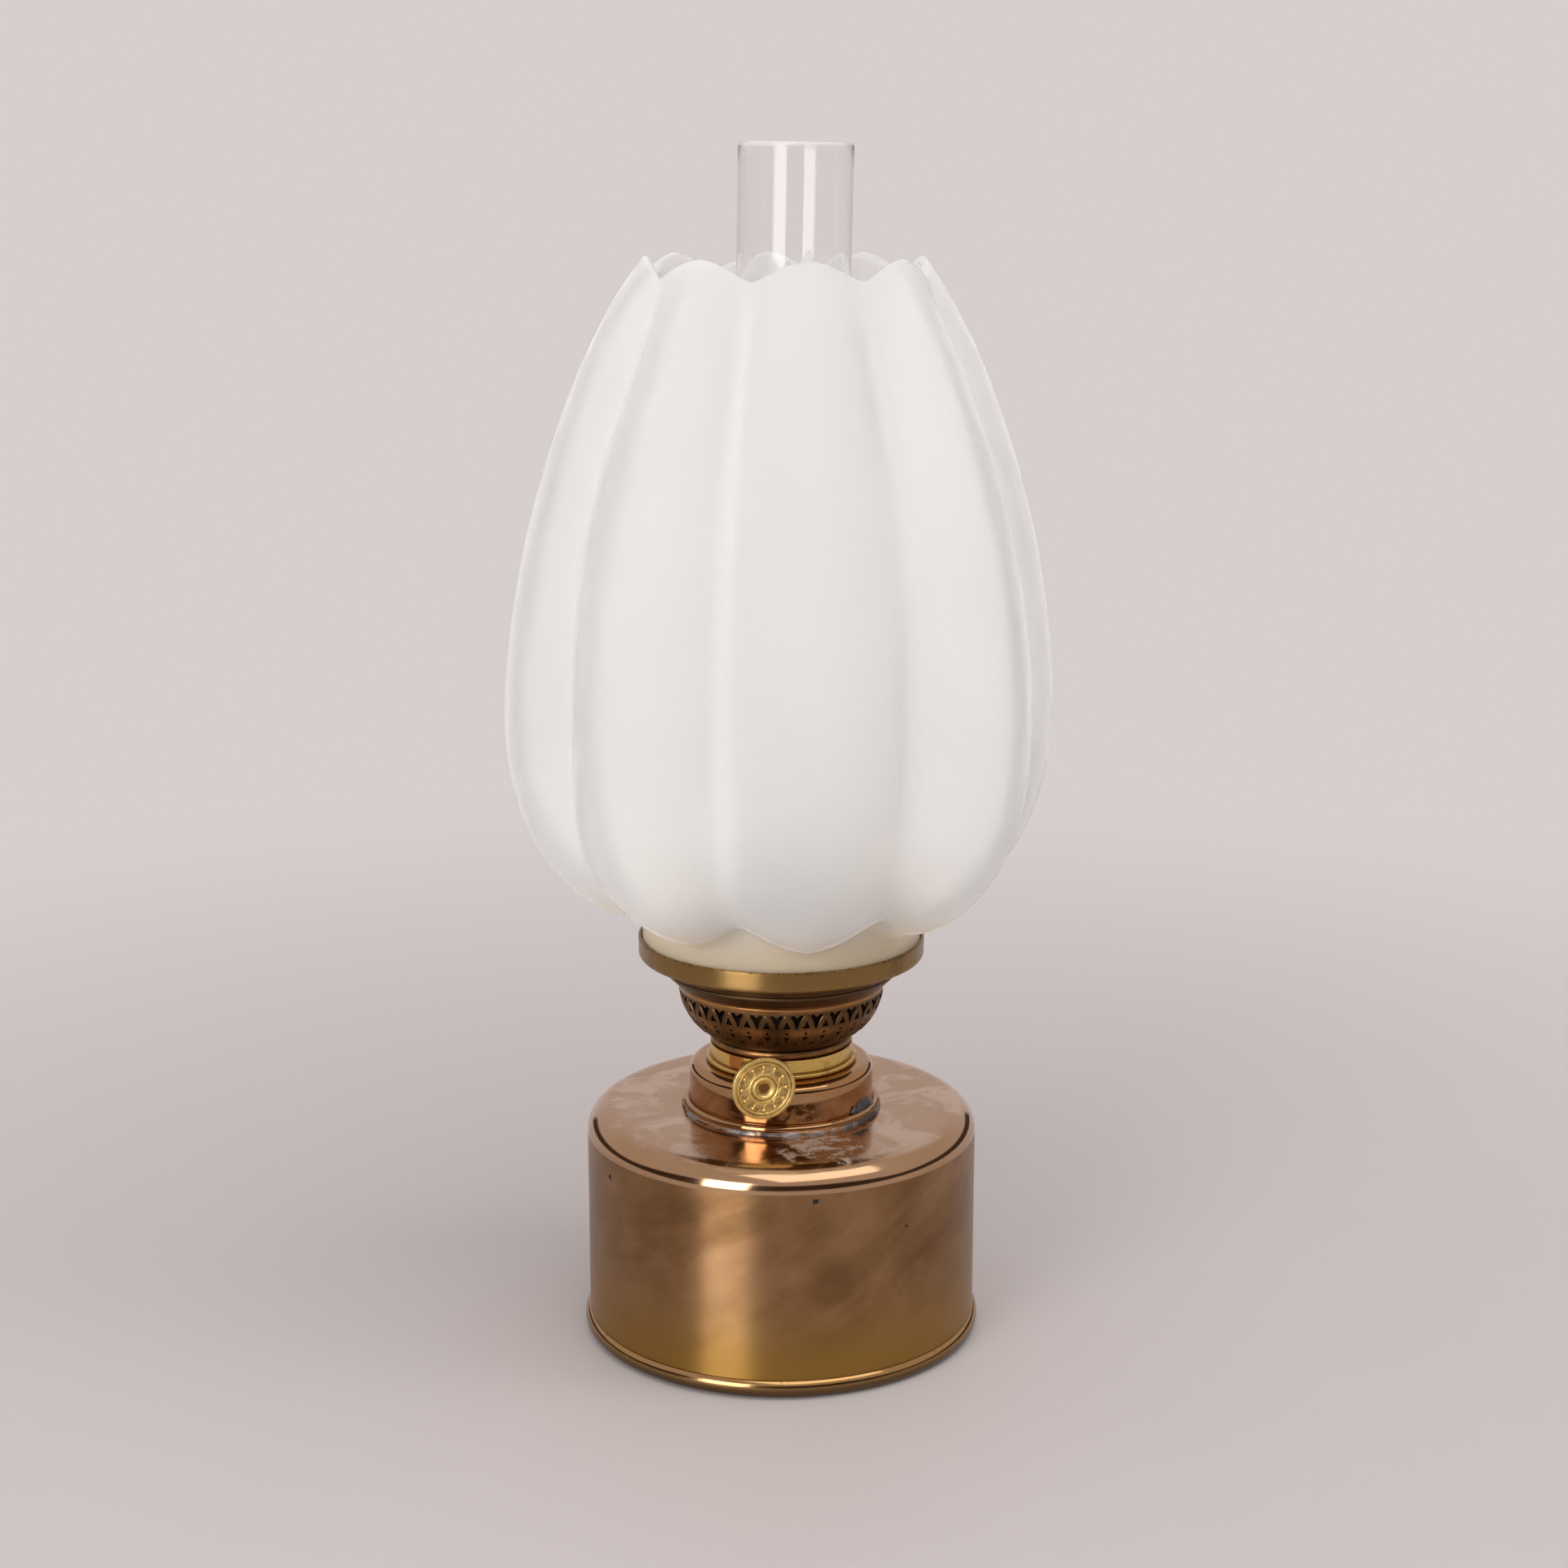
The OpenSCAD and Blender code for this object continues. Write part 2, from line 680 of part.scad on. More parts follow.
module glass_shade() {
    n = lobes * shade_cols;
    outer_lobe = lobe_rows(0);
    outer_groove = groove_rows(0);
    lobe = concat(outer_lobe, backwards(lobe_rows(shade_t)));
    groove = concat(outer_groove, backwards(groove_rows(shade_t)));
    rows = len(lobe);
    points = [
        for (i = [0:n - 1]) for (j = [0:rows - 1])
            let(a = i * 360 / n, s = lobe_share(a), p = groove[j] + s * (lobe[j] - groove[j]))
                [p[0] * cos(a), p[0] * sin(a), p[1]]
    ];
    faces = [
        for (i = [0:n - 1]) for (j = [0:rows - 1]) for (k = [0, 1])
            let(i2 = (i + 1) % n, j2 = (j + 1) % rows)
                k == 0 ? [i * rows + j, i * rows + j2, i2 * rows + j2]
                       : [i * rows + j, i2 * rows + j2, i2 * rows + j]
    ];
    color("oldlace") translate([0, 0, z_shade]) lean_over(shade_lean)
        rotate([0, 0, shade_turn - 90]) polyhedron(points, faces);
}

module chimney_outline(d) {
    cone_low = waist_h - cone_h;
    foot_r = foot_glass_r - d;
    polygon([
        [0, -d], [foot_r, -d], [foot_r, cone_low],
        for (a = [10:10:90])
            [foot_r - (foot_r - waist_r + d) * (1 - cos(a * 2)) / 2, cone_low + cone_h * a / 90],
        [flue_r - d, waist_h + flare_h], [flue_r - d, chimney_h + d], [0, chimney_h + d]
    ]);
}

module glass_chimney() {
    color("lightcyan", 0.4) translate([0, 0, z_chimney]) lean_over(chimney_lean)
        rotate_extrude() difference() {
            chimney_outline(0);
            chimney_outline(glass_t);
        }
}

font_shell();
font_foot();
font_base();
neck_collar();
neck_solder();
screw_collar();
burner_base();
burner_floor();
burner_deck();
wick_tube();
air_tube();
spindle_bush();
bearing_bracket();
spindle();
wick_knob();
knob_rivet();
front_wheel();
rear_wheel();
wick();
gallery_basket();
chimney_seat();
chimney_prongs();
gallery_rivets();
holder_ring();
shade_holder();
glass_shade();
glass_chimney();
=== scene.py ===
import math

import bmesh
import bpy
from bpy.props import FloatProperty, FloatVectorProperty, IntProperty, PointerProperty
from mathutils import Matrix, Vector, noise


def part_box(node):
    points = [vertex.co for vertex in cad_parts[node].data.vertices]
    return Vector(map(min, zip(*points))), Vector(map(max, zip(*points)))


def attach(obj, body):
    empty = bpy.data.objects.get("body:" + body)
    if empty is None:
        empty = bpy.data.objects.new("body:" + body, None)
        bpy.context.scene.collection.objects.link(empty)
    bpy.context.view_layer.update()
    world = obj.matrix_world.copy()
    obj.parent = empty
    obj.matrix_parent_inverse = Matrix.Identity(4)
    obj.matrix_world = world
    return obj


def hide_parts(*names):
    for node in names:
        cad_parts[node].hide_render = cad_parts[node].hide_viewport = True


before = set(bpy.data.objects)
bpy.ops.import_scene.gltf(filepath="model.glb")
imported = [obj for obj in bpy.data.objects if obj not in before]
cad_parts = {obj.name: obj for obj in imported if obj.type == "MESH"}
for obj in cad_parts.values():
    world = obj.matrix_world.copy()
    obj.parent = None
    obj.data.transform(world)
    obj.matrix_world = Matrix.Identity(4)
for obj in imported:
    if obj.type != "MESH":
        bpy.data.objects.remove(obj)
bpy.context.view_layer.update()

bl_info = {
    "name": "Kerosene table lamp",
    "version": (1, 0, 0),
    "blender": (4, 5, 0),
    "location": "View3D > Sidebar > Lamp",
    "description": "Builds the looks of a kerosene table lamp round its packed model",
    "category": "Add Mesh",
}

MM = 0.001
LAMP_AXIS = {"cent": (0, 0, 0), "axis": (0, 0, 1), "dvec": (0, 0, 0)}
WELD_GAP = 1e-6
FINE_GAP = 1e-7
SEAT_GAP = 0.06 * MM
CRUST_LIFT = 1.5 * MM

# Pits in the font's wall: centre and size in millimetres, raggedness and grain of the edge
WALL_PITS = (
    ((-5.0, -59.8, 61.4), 0.95, 1.1, 1500),
    ((24.1, -54.9, 49.0), 0.6, 1.1, 1500),
    ((-57.4, -17.5, 58.0), 1.0, 1.2, 1200),
)


def mm(*values):
    """Millimetres as metres."""
    return tuple(value * MM for value in values)


def low(node):
    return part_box(node)[0]


def high(node):
    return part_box(node)[1]


def length(name, description, default):
    return FloatProperty(name=name, description=description, default=default, precision=5,
                         unit="LENGTH", subtype="DISTANCE")


def turn_of(name, description, degrees):
    return FloatProperty(name=name, description=description, default=math.radians(degrees),
                         unit="ROTATION", subtype="ANGLE")


def colour(name, description, red, green, blue):
    return FloatVectorProperty(name=name, description=description, default=(red, green, blue, 1.0),
                               size=4, min=0.0, max=1.0, subtype="COLOR")


class MetalSizes(bpy.types.PropertyGroup):
    """Sizes of the turned and pierced metal pieces."""

    font_r: length("Font radius", "Outside radius of the font wall", high("font_shell").x)
    font_top: length("Font top", "Height of the font's flat top", high("font_shell").z)
    crease: length("Crease", "Height at which the wall meets the foot bead", low("font_shell").z)
    font_wall: length("Font sheet", "Sheet thickness of the font", 0.9 * MM)
    shoulder: length("Shoulder", "Radius of the rounded shoulder", 7.1 * MM)
    font_hole: length("Font hole", "Radius of the hole under the neck", 26.2 * MM)
    foot_r: length("Foot radius", "Outside radius of the foot bead", high("font_foot").x)
    foot_bead: length("Foot bead", "Radius of the rolled foot bead", 3.05 * MM)
    foot_in: length("Foot ledge", "Inside radius of the foot's flat ring", 55.1 * MM)
    neck_r: length("Neck radius", "Outside radius of the neck collar", 28.3 * MM)
    neck_top: length("Neck top", "Height of the neck's flat top", high("neck_collar").z)
    neck_bore: length("Neck bore", "Radius of the neck's opening", 20.85 * MM)
    neck_wall: length("Neck sheet", "Sheet thickness of the neck", 1.1 * MM)
    neck_edge: length("Neck edge", "Radius of the neck's rounded top edge", 3 * MM)
    neck_bead: length("Neck bead", "Radius of the bead round the neck's base", 1.3 * MM)
    neck_bead_z: length("Neck bead height", "Height of the neck bead's middle", high("neck_solder").z)
    drum_seam: length("Drum seam", "Height of the dirty seam round the burner drum", 87.3 * MM)
    bowl_r: length("Bowl radius", "Largest radius of the pierced bowl", 31.3 * MM)
    bowl_round: length("Bowl rounding", "Radius of the bowl's curved wall", 17.75 * MM)
    bowl_z: length("Bowl height", "Height of the bowl's widest ring", 110.1 * MM)
    bowl_wall: length("Bowl sheet", "Sheet thickness of the gallery", 0.8 * MM)
    bowl_bead: length("Bowl bead", "Radius of the bead under the bowl", 1.4 * MM)
    bowl_sleeve: length("Bowl sleeve", "Inside radius of the bowl's foot", 18.9 * MM)
    band_r: length("Band", "Radius of the rolled band over the piercing", 1.25 * MM)
    lip_r: length("Lip radius", "Outside radius of the flared lip", high("gallery_basket").x)
    motifs: IntProperty(name="Motifs", description="Pierced ovals round the bowl", default=32, min=8)
    holder_r: length("Holder radius", "Outside radius of the shade holder", high("shade_holder").x)
    holder_wall: length("Holder sheet", "Sheet thickness of the shade holder", 0.8 * MM)
    dish_in: length("Dish hole", "Inside radius of the shade holder", 32.3 * MM)
    dish_step: length("Dish step", "Radius at which the holder's floor begins", 39.7 * MM)
    holder_rise: length("Dish depth", "Height of the holder's floor above the lip", 4.6 * MM)
    holder_edge: length("Holder edge", "Radius of the holder's lower edge", 1.4 * MM)
    knob_r: length("Knob radius", "Outside radius of the wick knob", 9.6 * MM)
    knob_t: length("Knob thickness", "Thickness of the knob's disc", 1.6 * MM)
    knob_reach: length("Knob reach", "Distance of the knob's face from the axis", 37.3 * MM)
    pearls: IntProperty(name="Pearls", description="Pearls on the knob's face", default=12, min=6)
    wick_slot: length("Wick slot", "Width of the slot in the wick", 9.2 * MM)
    wick_slot_z: length("Wick slot height", "Height of the slot's upper end", 113.3 * MM)


class GlassSizes(bpy.types.PropertyGroup):
    """Sizes of the shade and the chimney."""

    glass: length("Shade glass", "Glass thickness of the shade", 2.6 * MM)
    fitter_r: length("Fitter radius", "Outside radius of the shade's fitter", 42.3 * MM)
    fitter_h: length("Fitter height", "Height of the fitter at the middle of a lobe", 11.9 * MM)
    fitter_scallop: length("Fitter scallop", "Extra height of the fitter in a groove", 4.9 * MM)
    belly_r: length("Belly radius", "Radius of the belly at the middle of a lobe", 83.1 * MM)
    belly_h: length("Belly height", "Height of the belly above the shade's foot", 74.6 * MM)
    groove_depth: length("Groove depth", "Depth of a groove at the belly", 11.4 * MM)
    groove_lift: length("Groove lift", "How much higher a groove is widest", 3.6 * MM)
    tip_r: length("Rim radius", "Radius of the rim at the tip of a lobe", 40.6 * MM)
    shade_h: length("Shade height", "Height of the shade to the tips of its rim", 208.8 * MM)
    rim_scallop: length("Rim scallop", "Depth of the scallops in the rim", 6 * MM)
    rim_out: length("Rim spread", "How much wider the rim is in a groove", 1.8 * MM)
    lobes: IntProperty(name="Lobes", description="Lobes round the shade", default=8, min=4)
    shade_turn: turn_of("Shade turn", "Turn of the shade in its holder", -95.1)
    shade_lean: turn_of("Shade lean", "Lean of the shade in its holder", 0.3)
    lean_heading: turn_of("Lean heading", "Heading towards which the glasses lean", -14.4)
    flue_foot: length("Chimney foot", "Outside radius of the chimney's foot", 23.75 * MM)
    flue_r: length("Chimney tube", "Outside radius of the chimney's tube", 16.7 * MM)
    waist_r: length("Chimney waist", "Outside radius of the chimney's waist", 15.6 * MM)
    flue_h: length("Chimney length", "Length of the chimney", 248.4 * MM)
    flue_t: length("Chimney glass", "Glass thickness of the chimney", 1.8 * MM)
    waist_h: length("Waist height", "Height of the waist above the chimney's foot", 48 * MM)
    flue_lean: turn_of("Chimney lean", "Lean of the chimney on its seat", 1)


class Colours(bpy.types.PropertyGroup):
    """Colours of the finishes."""

    copper: colour("Copper", "Polished font wall", 0.415, 0.243, 0.118)
    copper_deep: colour("Deep copper", "Browner copper between the polish", 0.215, 0.110, 0.045)
    copper_top: colour("Top copper", "Polished shoulder and top of the font", 0.47, 0.29, 0.165)
    copper_pale: colour("Pale copper", "Hazy scratched copper on the top", 0.70, 0.53, 0.40)
    olive: colour("Olive brass", "Yellow tint of the wall near the foot", 0.36, 0.20, 0.05)
    dust: colour("Dust", "Pale residue on the font's top", 0.62, 0.55, 0.50)
    foot: colour("Foot brass", "Rolled foot bead", 0.40, 0.24, 0.088)
    neck: colour("Neck copper", "Polished neck", 0.40, 0.205, 0.088)
    lead: colour("Solder", "Grey solder", 0.42, 0.41, 0.43)
    lead_dark: colour("Solder crust", "Dark crust of the solder", 0.05, 0.047, 0.045)
    brass: colour("Burner brass", "Yellow brass of the burner drum", 0.68, 0.445, 0.13)
    brass_stain: colour("Brass stain", "Brown stains on the brass", 0.22, 0.10, 0.03)
    rust: colour("Heat stain", "Orange stain on the drum", 0.40, 0.12, 0.03)
    bronze: colour("Bronze", "Dark brown patina of the gallery", 0.125, 0.07, 0.031)
    bronze_worn: colour("Worn bronze", "Copper that shows through the patina", 0.48, 0.235, 0.08)
    holder: colour("Holder brass", "Aged brass of the shade holder", 0.29, 0.175, 0.062)
    # Holder tarnish, also used as painted shade under the foot bead, on the bowl under the holder and on the
    # holder's dish
    tarnish_and_painted_shade: colour("Holder tarnish", "Dark specks of the shade holder", 0.10, 0.06, 0.03)
    knob: colour("Knob brass", "Matt gold of the knob", 0.78, 0.55, 0.20)
    knob_dark: colour("Knob recess", "Dirt in the knob's recesses", 0.20, 0.11, 0.03)
    steel: colour("Steel", "Wick wheels", 0.34, 0.33, 0.32)
    cotton: colour("Cotton", "Woven wick", 0.72, 0.66, 0.54)
    char: colour("Char", "Burnt edge of the wick", 0.03, 0.025, 0.02)
    frost: colour("Frosted glass", "Shade glass", 0.967, 0.973, 0.971)
    # Fitter glass: a painted warm tint that stands in for the brass seen through the glass
    frost_painted_brass: colour("Fitter glass", "Shade glass near the holder", 0.96, 0.83, 0.60)
    clear: colour("Clear glass", "Chimney glass", 0.985, 0.99, 0.985)
    floor: colour("Floor", "Floor under the lamp", 0.525, 0.475, 0.465)
    backdrop: colour("Backdrop", "Pale background", 0.68, 0.62, 0.62)
    daylight: colour("Room light", "Even light on matt surfaces", 0.62, 0.605, 0.60)
    dim: colour("Dim room", "Unlit side of the room in the reflections", 0.13, 0.075, 0.043)


class Stage(bpy.types.PropertyGroup):
    """Camera, floor and lights."""

    heading: turn_of("Camera heading", "Heading of the camera from the front", -14.4)
    away: length("Camera distance", "Distance of the camera from the axis", 795 * MM)
    eye: length("Camera height", "Height of the camera above the floor", 355.8 * MM)
    aside: length("Camera offset", "Sideways offset of the camera", 0.87 * MM)
    tilt: turn_of("Camera tilt", "Angle of the camera from straight down", 76.97)
    lens: FloatProperty(name="Lens", description="Focal length", default=62.05, unit="CAMERA")
    floor_r: length("Floor radius", "Radius of the floor", 14)


class Value:
    """A value on a socket. Arithmetic on it adds Math nodes to its finish."""

    def __init__(self, finish, socket):
        self.finish = finish
        self.socket = socket

    def math(self, operation, first, second):
        return self.finish.node("ShaderNodeMath", {"operation": operation}, {0: first, 1: second})

    def __add__(self, other):
        return self.math("ADD", self, other)

    def __radd__(self, other):
        return self.math("ADD", other, self)

    def __sub__(self, other):
        return self.math("SUBTRACT", self, other)

    def __rsub__(self, other):
        return self.math("SUBTRACT", other, self)

    def __mul__(self, other):
        return self.math("MULTIPLY", self, other)

    def __rmul__(self, other):
        return self.math("MULTIPLY", other, self)

    def __pow__(self, other):
        return self.math("POWER", self, other)


class Finish:
    """The node tree of a material or of the world."""

    def __init__(self, owner):
        owner.use_nodes = True
        self.owner = owner
        self.tree = owner.node_tree
        self.tree.nodes.clear()

    def node(self, kind, settings=None, sockets=None, result=0):
        made = self.tree.nodes.new(kind)
        for key, value in (settings or {}).items():
            setattr(made, key, value)
        for key, value in (sockets or {}).items():
            if isinstance(value, Value):
                self.tree.links.new(value.socket, made.inputs[key])
            else:
                made.inputs[key].default_value = value
        return None if result is None else Value(self, made.outputs[result])

    def place(self):
        return self.node("ShaderNodeTexCoord", result="Object")

    def axes(self):
        parts = self.node("ShaderNodeSeparateXYZ", None, {0: self.place()}).socket.node
        return [Value(self, socket) for socket in parts.outputs]

    def height(self):
        return self.axes()[2]

    def point(self, x, y, z):
        return self.node("ShaderNodeCombineXYZ", None, {0: x, 1: y, 2: z})

    def spread(self, scale, shift, of=None):
        return self.node("ShaderNodeMapping", None,
                         {"Vector": of or self.place(), "Scale": scale, "Location": shift})

    def grain(self, scale, detail=3.0, rough=0.55, shift=0.0, stretch=(1.0, 1.0, 1.0), of=None, warp=0.0):
        where = self.spread([scale * s for s in stretch], (shift, 1.7 * shift, -shift), of)
        return self.node("ShaderNodeTexNoise", None,
                         {"Vector": where, "Scale": 1.0, "Detail": detail, "Roughness": rough,
                          "Distortion": warp})

    def specks(self, scale, size, share, shift=0.0):
        """Small round spots of a size, on a share of the cells of a grid."""
        where = self.spread((scale, scale, scale), (shift, -shift, 2 * shift))
        cells = self.node("ShaderNodeTexVoronoi", None, {"Vector": where, "Scale": 1.0}).socket.node
        near = 1 - self.step(Value(self, cells.outputs["Distance"]), 0.4 * size, size)
        pick = self.node("ShaderNodeSeparateColor", None, {0: Value(self, cells.outputs["Color"])})
        return near * self.step(pick, 1 - share, 1.02 - share)

    def step(self, value, start, end):
        return self.node("ShaderNodeMapRange", {"interpolation_type": "SMOOTHSTEP"},
                         {"Value": value, "From Min": start, "From Max": end})

    def within(self, value, start, full, fade, end):
        """Rises from start to full and falls from fade to end."""
        return self.step(value, start, full) * (1 - self.step(value, fade, end))

    def mix(self, share, first, second):
        return self.node("ShaderNodeMix", {"data_type": "RGBA"}, {0: share, 6: first, 7: second}, 2)

    def patch(self, centre, size, ragged, scale):
        """A stain of a size round a point, with a ragged edge."""
        off = self.node("ShaderNodeVectorMath", {"operation": "DISTANCE"},
                        {0: self.place(), 1: centre}, "Value")
        edge = off * (1 / size) + (self.grain(scale, 4.0, 0.6) - 0.5) * (2 * ragged)
        return 1 - self.step(edge, 0.75, 1.05)

    def seen(self):
        """1 where the camera, a reflection or a view through glass looks, 0 for light on matt surfaces."""
        path = self.node("ShaderNodeLightPath").socket.node
        camera, glossy, through = [Value(self, path.outputs[f"Is {kind} Ray"])
                                   for kind in ("Camera", "Glossy", "Transmission")]
        return self.step(camera + glossy + through, 0.0, 1.0)

    def bump(self, dent, depth):
        return self.node("ShaderNodeBump", None, {"Height": dent, "Strength": 1.0, "Distance": depth})

    def principled(self, **sockets):
        names = {key.replace("_", " ").title().replace("Ior", "IOR"): value
                 for key, value in sockets.items()}
        return self.node("ShaderNodeBsdfPrincipled", None, names)

    def shade(self, **sockets):
        return self.finish(self.principled(**sockets))

    def metal(self, tint, rough, dent, depth, **sockets):
        """Bare metal with dents of a depth."""
        return self.shade(base_color=tint, metallic=1.0, roughness=rough,
                          normal=self.bump(dent, depth), **sockets)

    def blend(self, share, first, second):
        return self.finish(self.node("ShaderNodeMixShader", None, {0: share, 1: first, 2: second}))

    def finish(self, shader):
        self.node("ShaderNodeOutputMaterial", None, {0: shader}, None)
        return self.owner


def shared(name, paint):
    """The finish of a slot, painted the first time that it is asked for."""
    name += "_finish"
    known = bpy.data.materials.get(name)
    return known or paint(Finish(bpy.data.materials.new(name)), bpy.context.scene.lamp_colours)


def sheet_waves(f):
    """Slow waves in the font's sheet."""
    return 1.4 * f.grain(26, 1, 0.4, 5.0)


def paint_font(f, c):
    """Brushed wall with brown clouds, slanting polish marks and an olive tint near the foot."""
    s = bpy.context.scene.lamp_metal
    x, y, z = f.axes()
    ring = f.point((x * x + y * y) ** 0.5, 0.0, z)
    slant = f.point(x + 0.7 * z, y + 0.4 * z, z - 0.7 * x)
    foot = 1 - f.step(z, s.crease, s.font_top * 0.6)
    cloud = f.grain(30, 4, 0.6, 3.0)
    swipe = f.grain(26, 5, 0.62, 12.0, stretch=(0.8, 0.8, 3.4), of=slant, warp=0.4)
    pits = f.specks(95, 0.045, 0.06)
    for centre, size, ragged, scale in WALL_PITS:
        pits = pits + f.patch(mm(*centre), size * MM, ragged, scale)
    pits = f.step(pits, 0.2, 0.9)
    lines = f.grain(1, 3, 0.7, stretch=(900.0, 1.0, 900.0), of=ring)
    tint = f.mix(f.step(0.6 * cloud + 0.4 * swipe, 0.30, 0.72), c.copper_deep, c.copper)
    tint = f.mix(foot ** 2.0, tint, c.olive)
    tint = f.mix(pits, tint, c.lead_dark)
    rough = 0.36 + 0.2 * pits + 0.10 * (cloud - 0.5) + 0.10 * (swipe - 0.5)
    dent = 0.02 * lines + sheet_waves(f) - 0.25 * pits
    return f.metal(tint, rough, dent, 0.12 * MM, anisotropic=0.92, anisotropic_rotation=0.25)


def paint_font_top(f, c):
    """Polished shoulder and top with wiped haze, fine scratches and a scuffed patch before the neck."""
    top = bpy.context.scene.lamp_metal.font_top
    flat = f.step(f.height(), top - 1.2 * MM, top - 0.2 * MM)
    cloud = f.grain(34, 4, 0.6, 3.0)
    smear = f.step(f.grain(60, 5, 0.62, 9.0, warp=0.8), 0.47, 0.62)
    scratch = f.step(f.grain(110, 5, 0.7, 21.0, stretch=(0.35, 2.6, 1.0), warp=1.5), 0.60, 0.70)
    haze = flat * (0.75 * smear + 0.55 * scratch)
    crumbs = f.step(f.grain(120, 7, 0.78, 2.0, stretch=(1.0, 1.3, 1.0), warp=0.3), 0.46, 0.57)
    scuff = flat * f.patch((2.0 * MM, -42.0 * MM, top), 13 * MM, 0.9, 120) * crumbs
    dust = flat * f.specks(700, 0.22, 0.10, 6.0)
    tint = f.mix(0.45 * f.step(cloud, 0.35, 0.68), c.copper_top, c.copper)
    tint = f.mix(0.85 * haze, tint, c.copper_pale)
    tint = f.mix(0.6 * scuff + 0.5 * dust, tint, c.dust)
    rough = 0.12 + 0.2 * haze + 0.3 * scuff + 0.3 * dust
    dent = sheet_waves(f) + 0.1 * haze + 0.2 * scuff
    return f.shade(base_color=tint, metallic=1.0 - 0.5 * scuff, roughness=rough, coat_weight=0.15,
                   coat_roughness=0.1, normal=f.bump(dent, 0.12 * MM))


def paint_foot(f, c):
    """Bright bead, with painted shade on its underside where it nears the table."""
    bead = bpy.context.scene.lamp_metal.foot_bead
    # painted shade: the lower part of the bead is darkened where it nears the table, as its contact shadow
    under = 1 - f.step(f.height(), 0.7 * bead, 1.6 * bead)
    cloud = f.grain(70, 4, 0.6, 2.0)
    dirt = f.step(f.grain(240, 4, 0.65, 7.0), 0.62, 0.74)
    tint = f.mix(f.step(cloud, 0.4, 0.7), c.foot, c.copper)
    tint = f.mix(0.7 * dirt, tint, c.brass_stain)
    tint = f.mix(0.85 * under, tint, c.tarnish_and_painted_shade)
    rough = 0.08 + 0.08 * cloud + 0.25 * dirt + 0.2 * under
    return f.metal(tint, rough, cloud + 0.1 * f.grain(900, 2), 0.08 * MM)


def paint_neck(f, c):
    """Polished copper with a faint smear and a few pits."""
    cloud = f.grain(60, 4, 0.6, 4.0)
    smear = f.step(f.grain(90, 5, 0.6, 11.0, stretch=(1.0, 1.0, 1.6), warp=0.4), 0.52, 0.75)
    pits = f.specks(210, 0.07, 0.10, 3.0)
    tint = f.mix(f.step(cloud, 0.35, 0.7), c.neck, c.copper)
    tint = f.mix(0.2 * smear, tint, c.copper_pale)
    tint = f.mix(0.8 * pits, tint, c.lead_dark)
    rough = 0.07 + 0.12 * smear + 0.3 * pits
    return f.metal(tint, rough, f.grain(45, 2, 0.5, 8.0) - 0.1 * pits, 0.10 * MM)


def paint_solder(f, c):
    """Grey solder, left in patches on the copper, and its dark crust on one side."""
    s = bpy.context.scene.lamp_metal
    lumps = f.grain(420, 5, 0.65, 5.0)
    bright = 0.75 * f.step(f.grain(160, 4, 0.6, 1.0), 0.34, 0.60)
    crust = f.patch((19.6 * MM, -20.7 * MM, s.neck_bead_z + CRUST_LIFT), 7 * MM, 0.3, 300)
    bare = f.step(f.grain(95, 4, 0.6, 8.0), 0.40, 0.56) * (1 - crust)
    tint = f.mix(bright * (1 - 0.85 * crust), c.lead_dark, c.lead)
    tint = f.mix(0.85 * bare, tint, c.neck)
    metallic = (0.25 + 0.6 * bright) * (1 - bare) + bare
    rough = (0.62 - 0.25 * bright + 0.1 * lumps) * (1 - 0.6 * bare)
    return f.shade(base_color=tint, metallic=metallic, roughness=rough, normal=f.bump(lumps, 0.2 * MM))


def paint_brass(f, c):
    """Yellow brass with brown stains, freckles, a heat stain and a dirty seam round the drum."""
    seam_z = bpy.context.scene.lamp_metal.drum_seam
    seam = f.within(f.height(), seam_z - 0.3 * MM, seam_z, seam_z + 0.05 * MM, seam_z + 0.6 * MM)
    stain = f.step(f.grain(150, 5, 0.65, 6.0, stretch=(1.0, 1.0, 1.6)), 0.52, 0.72)
    freckle = f.specks(420, 0.13, 0.16, 2.0)
    heat = f.patch(mm(-17.3, -13.4, 89.6), 3.4 * MM, 0.55, 420)
    tint = f.mix(0.55 * stain, c.brass, c.brass_stain)
    tint = f.mix(0.6 * freckle, tint, c.brass_stain)
    tint = f.mix(0.85 * heat, tint, c.rust)
    tint = f.mix(0.6 * seam, tint, c.brass_stain)
    rough = 0.27 + 0.2 * stain + 0.15 * freckle + 0.1 * heat
    return f.metal(tint, rough, f.grain(300, 3, 0.5) - 0.3 * freckle, 0.04 * MM)


def paint_inner(f, c):
    """Stained brass of the hidden pieces."""
    stain = f.step(f.grain(120, 5, 0.65, 14.0), 0.42, 0.66)
    tint = f.mix(stain, c.brass, c.brass_stain)
    return f.metal(tint, 0.34 + 0.2 * stain, f.grain(420, 4, 0.6, 3.0), 0.08 * MM)


def paint_sooty(f, c):
    """Brass under soot."""
    soot = f.step(f.grain(90, 5, 0.65, 17.0), 0.15, 0.75)
    tint = f.mix(soot, c.brass_stain, c.char)
    return f.shade(base_color=tint, metallic=0.9 - 0.6 * soot, roughness=0.45 + 0.3 * soot,
                   normal=f.bump(f.grain(520, 4, 0.6, 3.0), 0.08 * MM))


def paint_spindle(f, c):
    """Brown brass, rubbed bright along the shaft."""
    wear = f.grain(260, 4, 0.6, 4.0, stretch=(1.0, 0.2, 1.0))
    tint = f.mix(f.step(wear, 0.4, 0.7), c.brass_stain, c.bronze_worn)
    return f.metal(tint, 0.3 + 0.25 * wear, wear, 0.06 * MM)


def paint_wheel(f, c):
    """Worn steel with rust."""
    wear = f.grain(700, 4, 0.65, 2.0)
    rusty = f.step(f.grain(300, 4, 0.6, 9.0), 0.5, 0.7)
    tint = f.mix(0.7 * rusty, c.steel, c.rust)
    return f.metal(tint, 0.3 + 0.3 * wear, wear, 0.08 * MM)


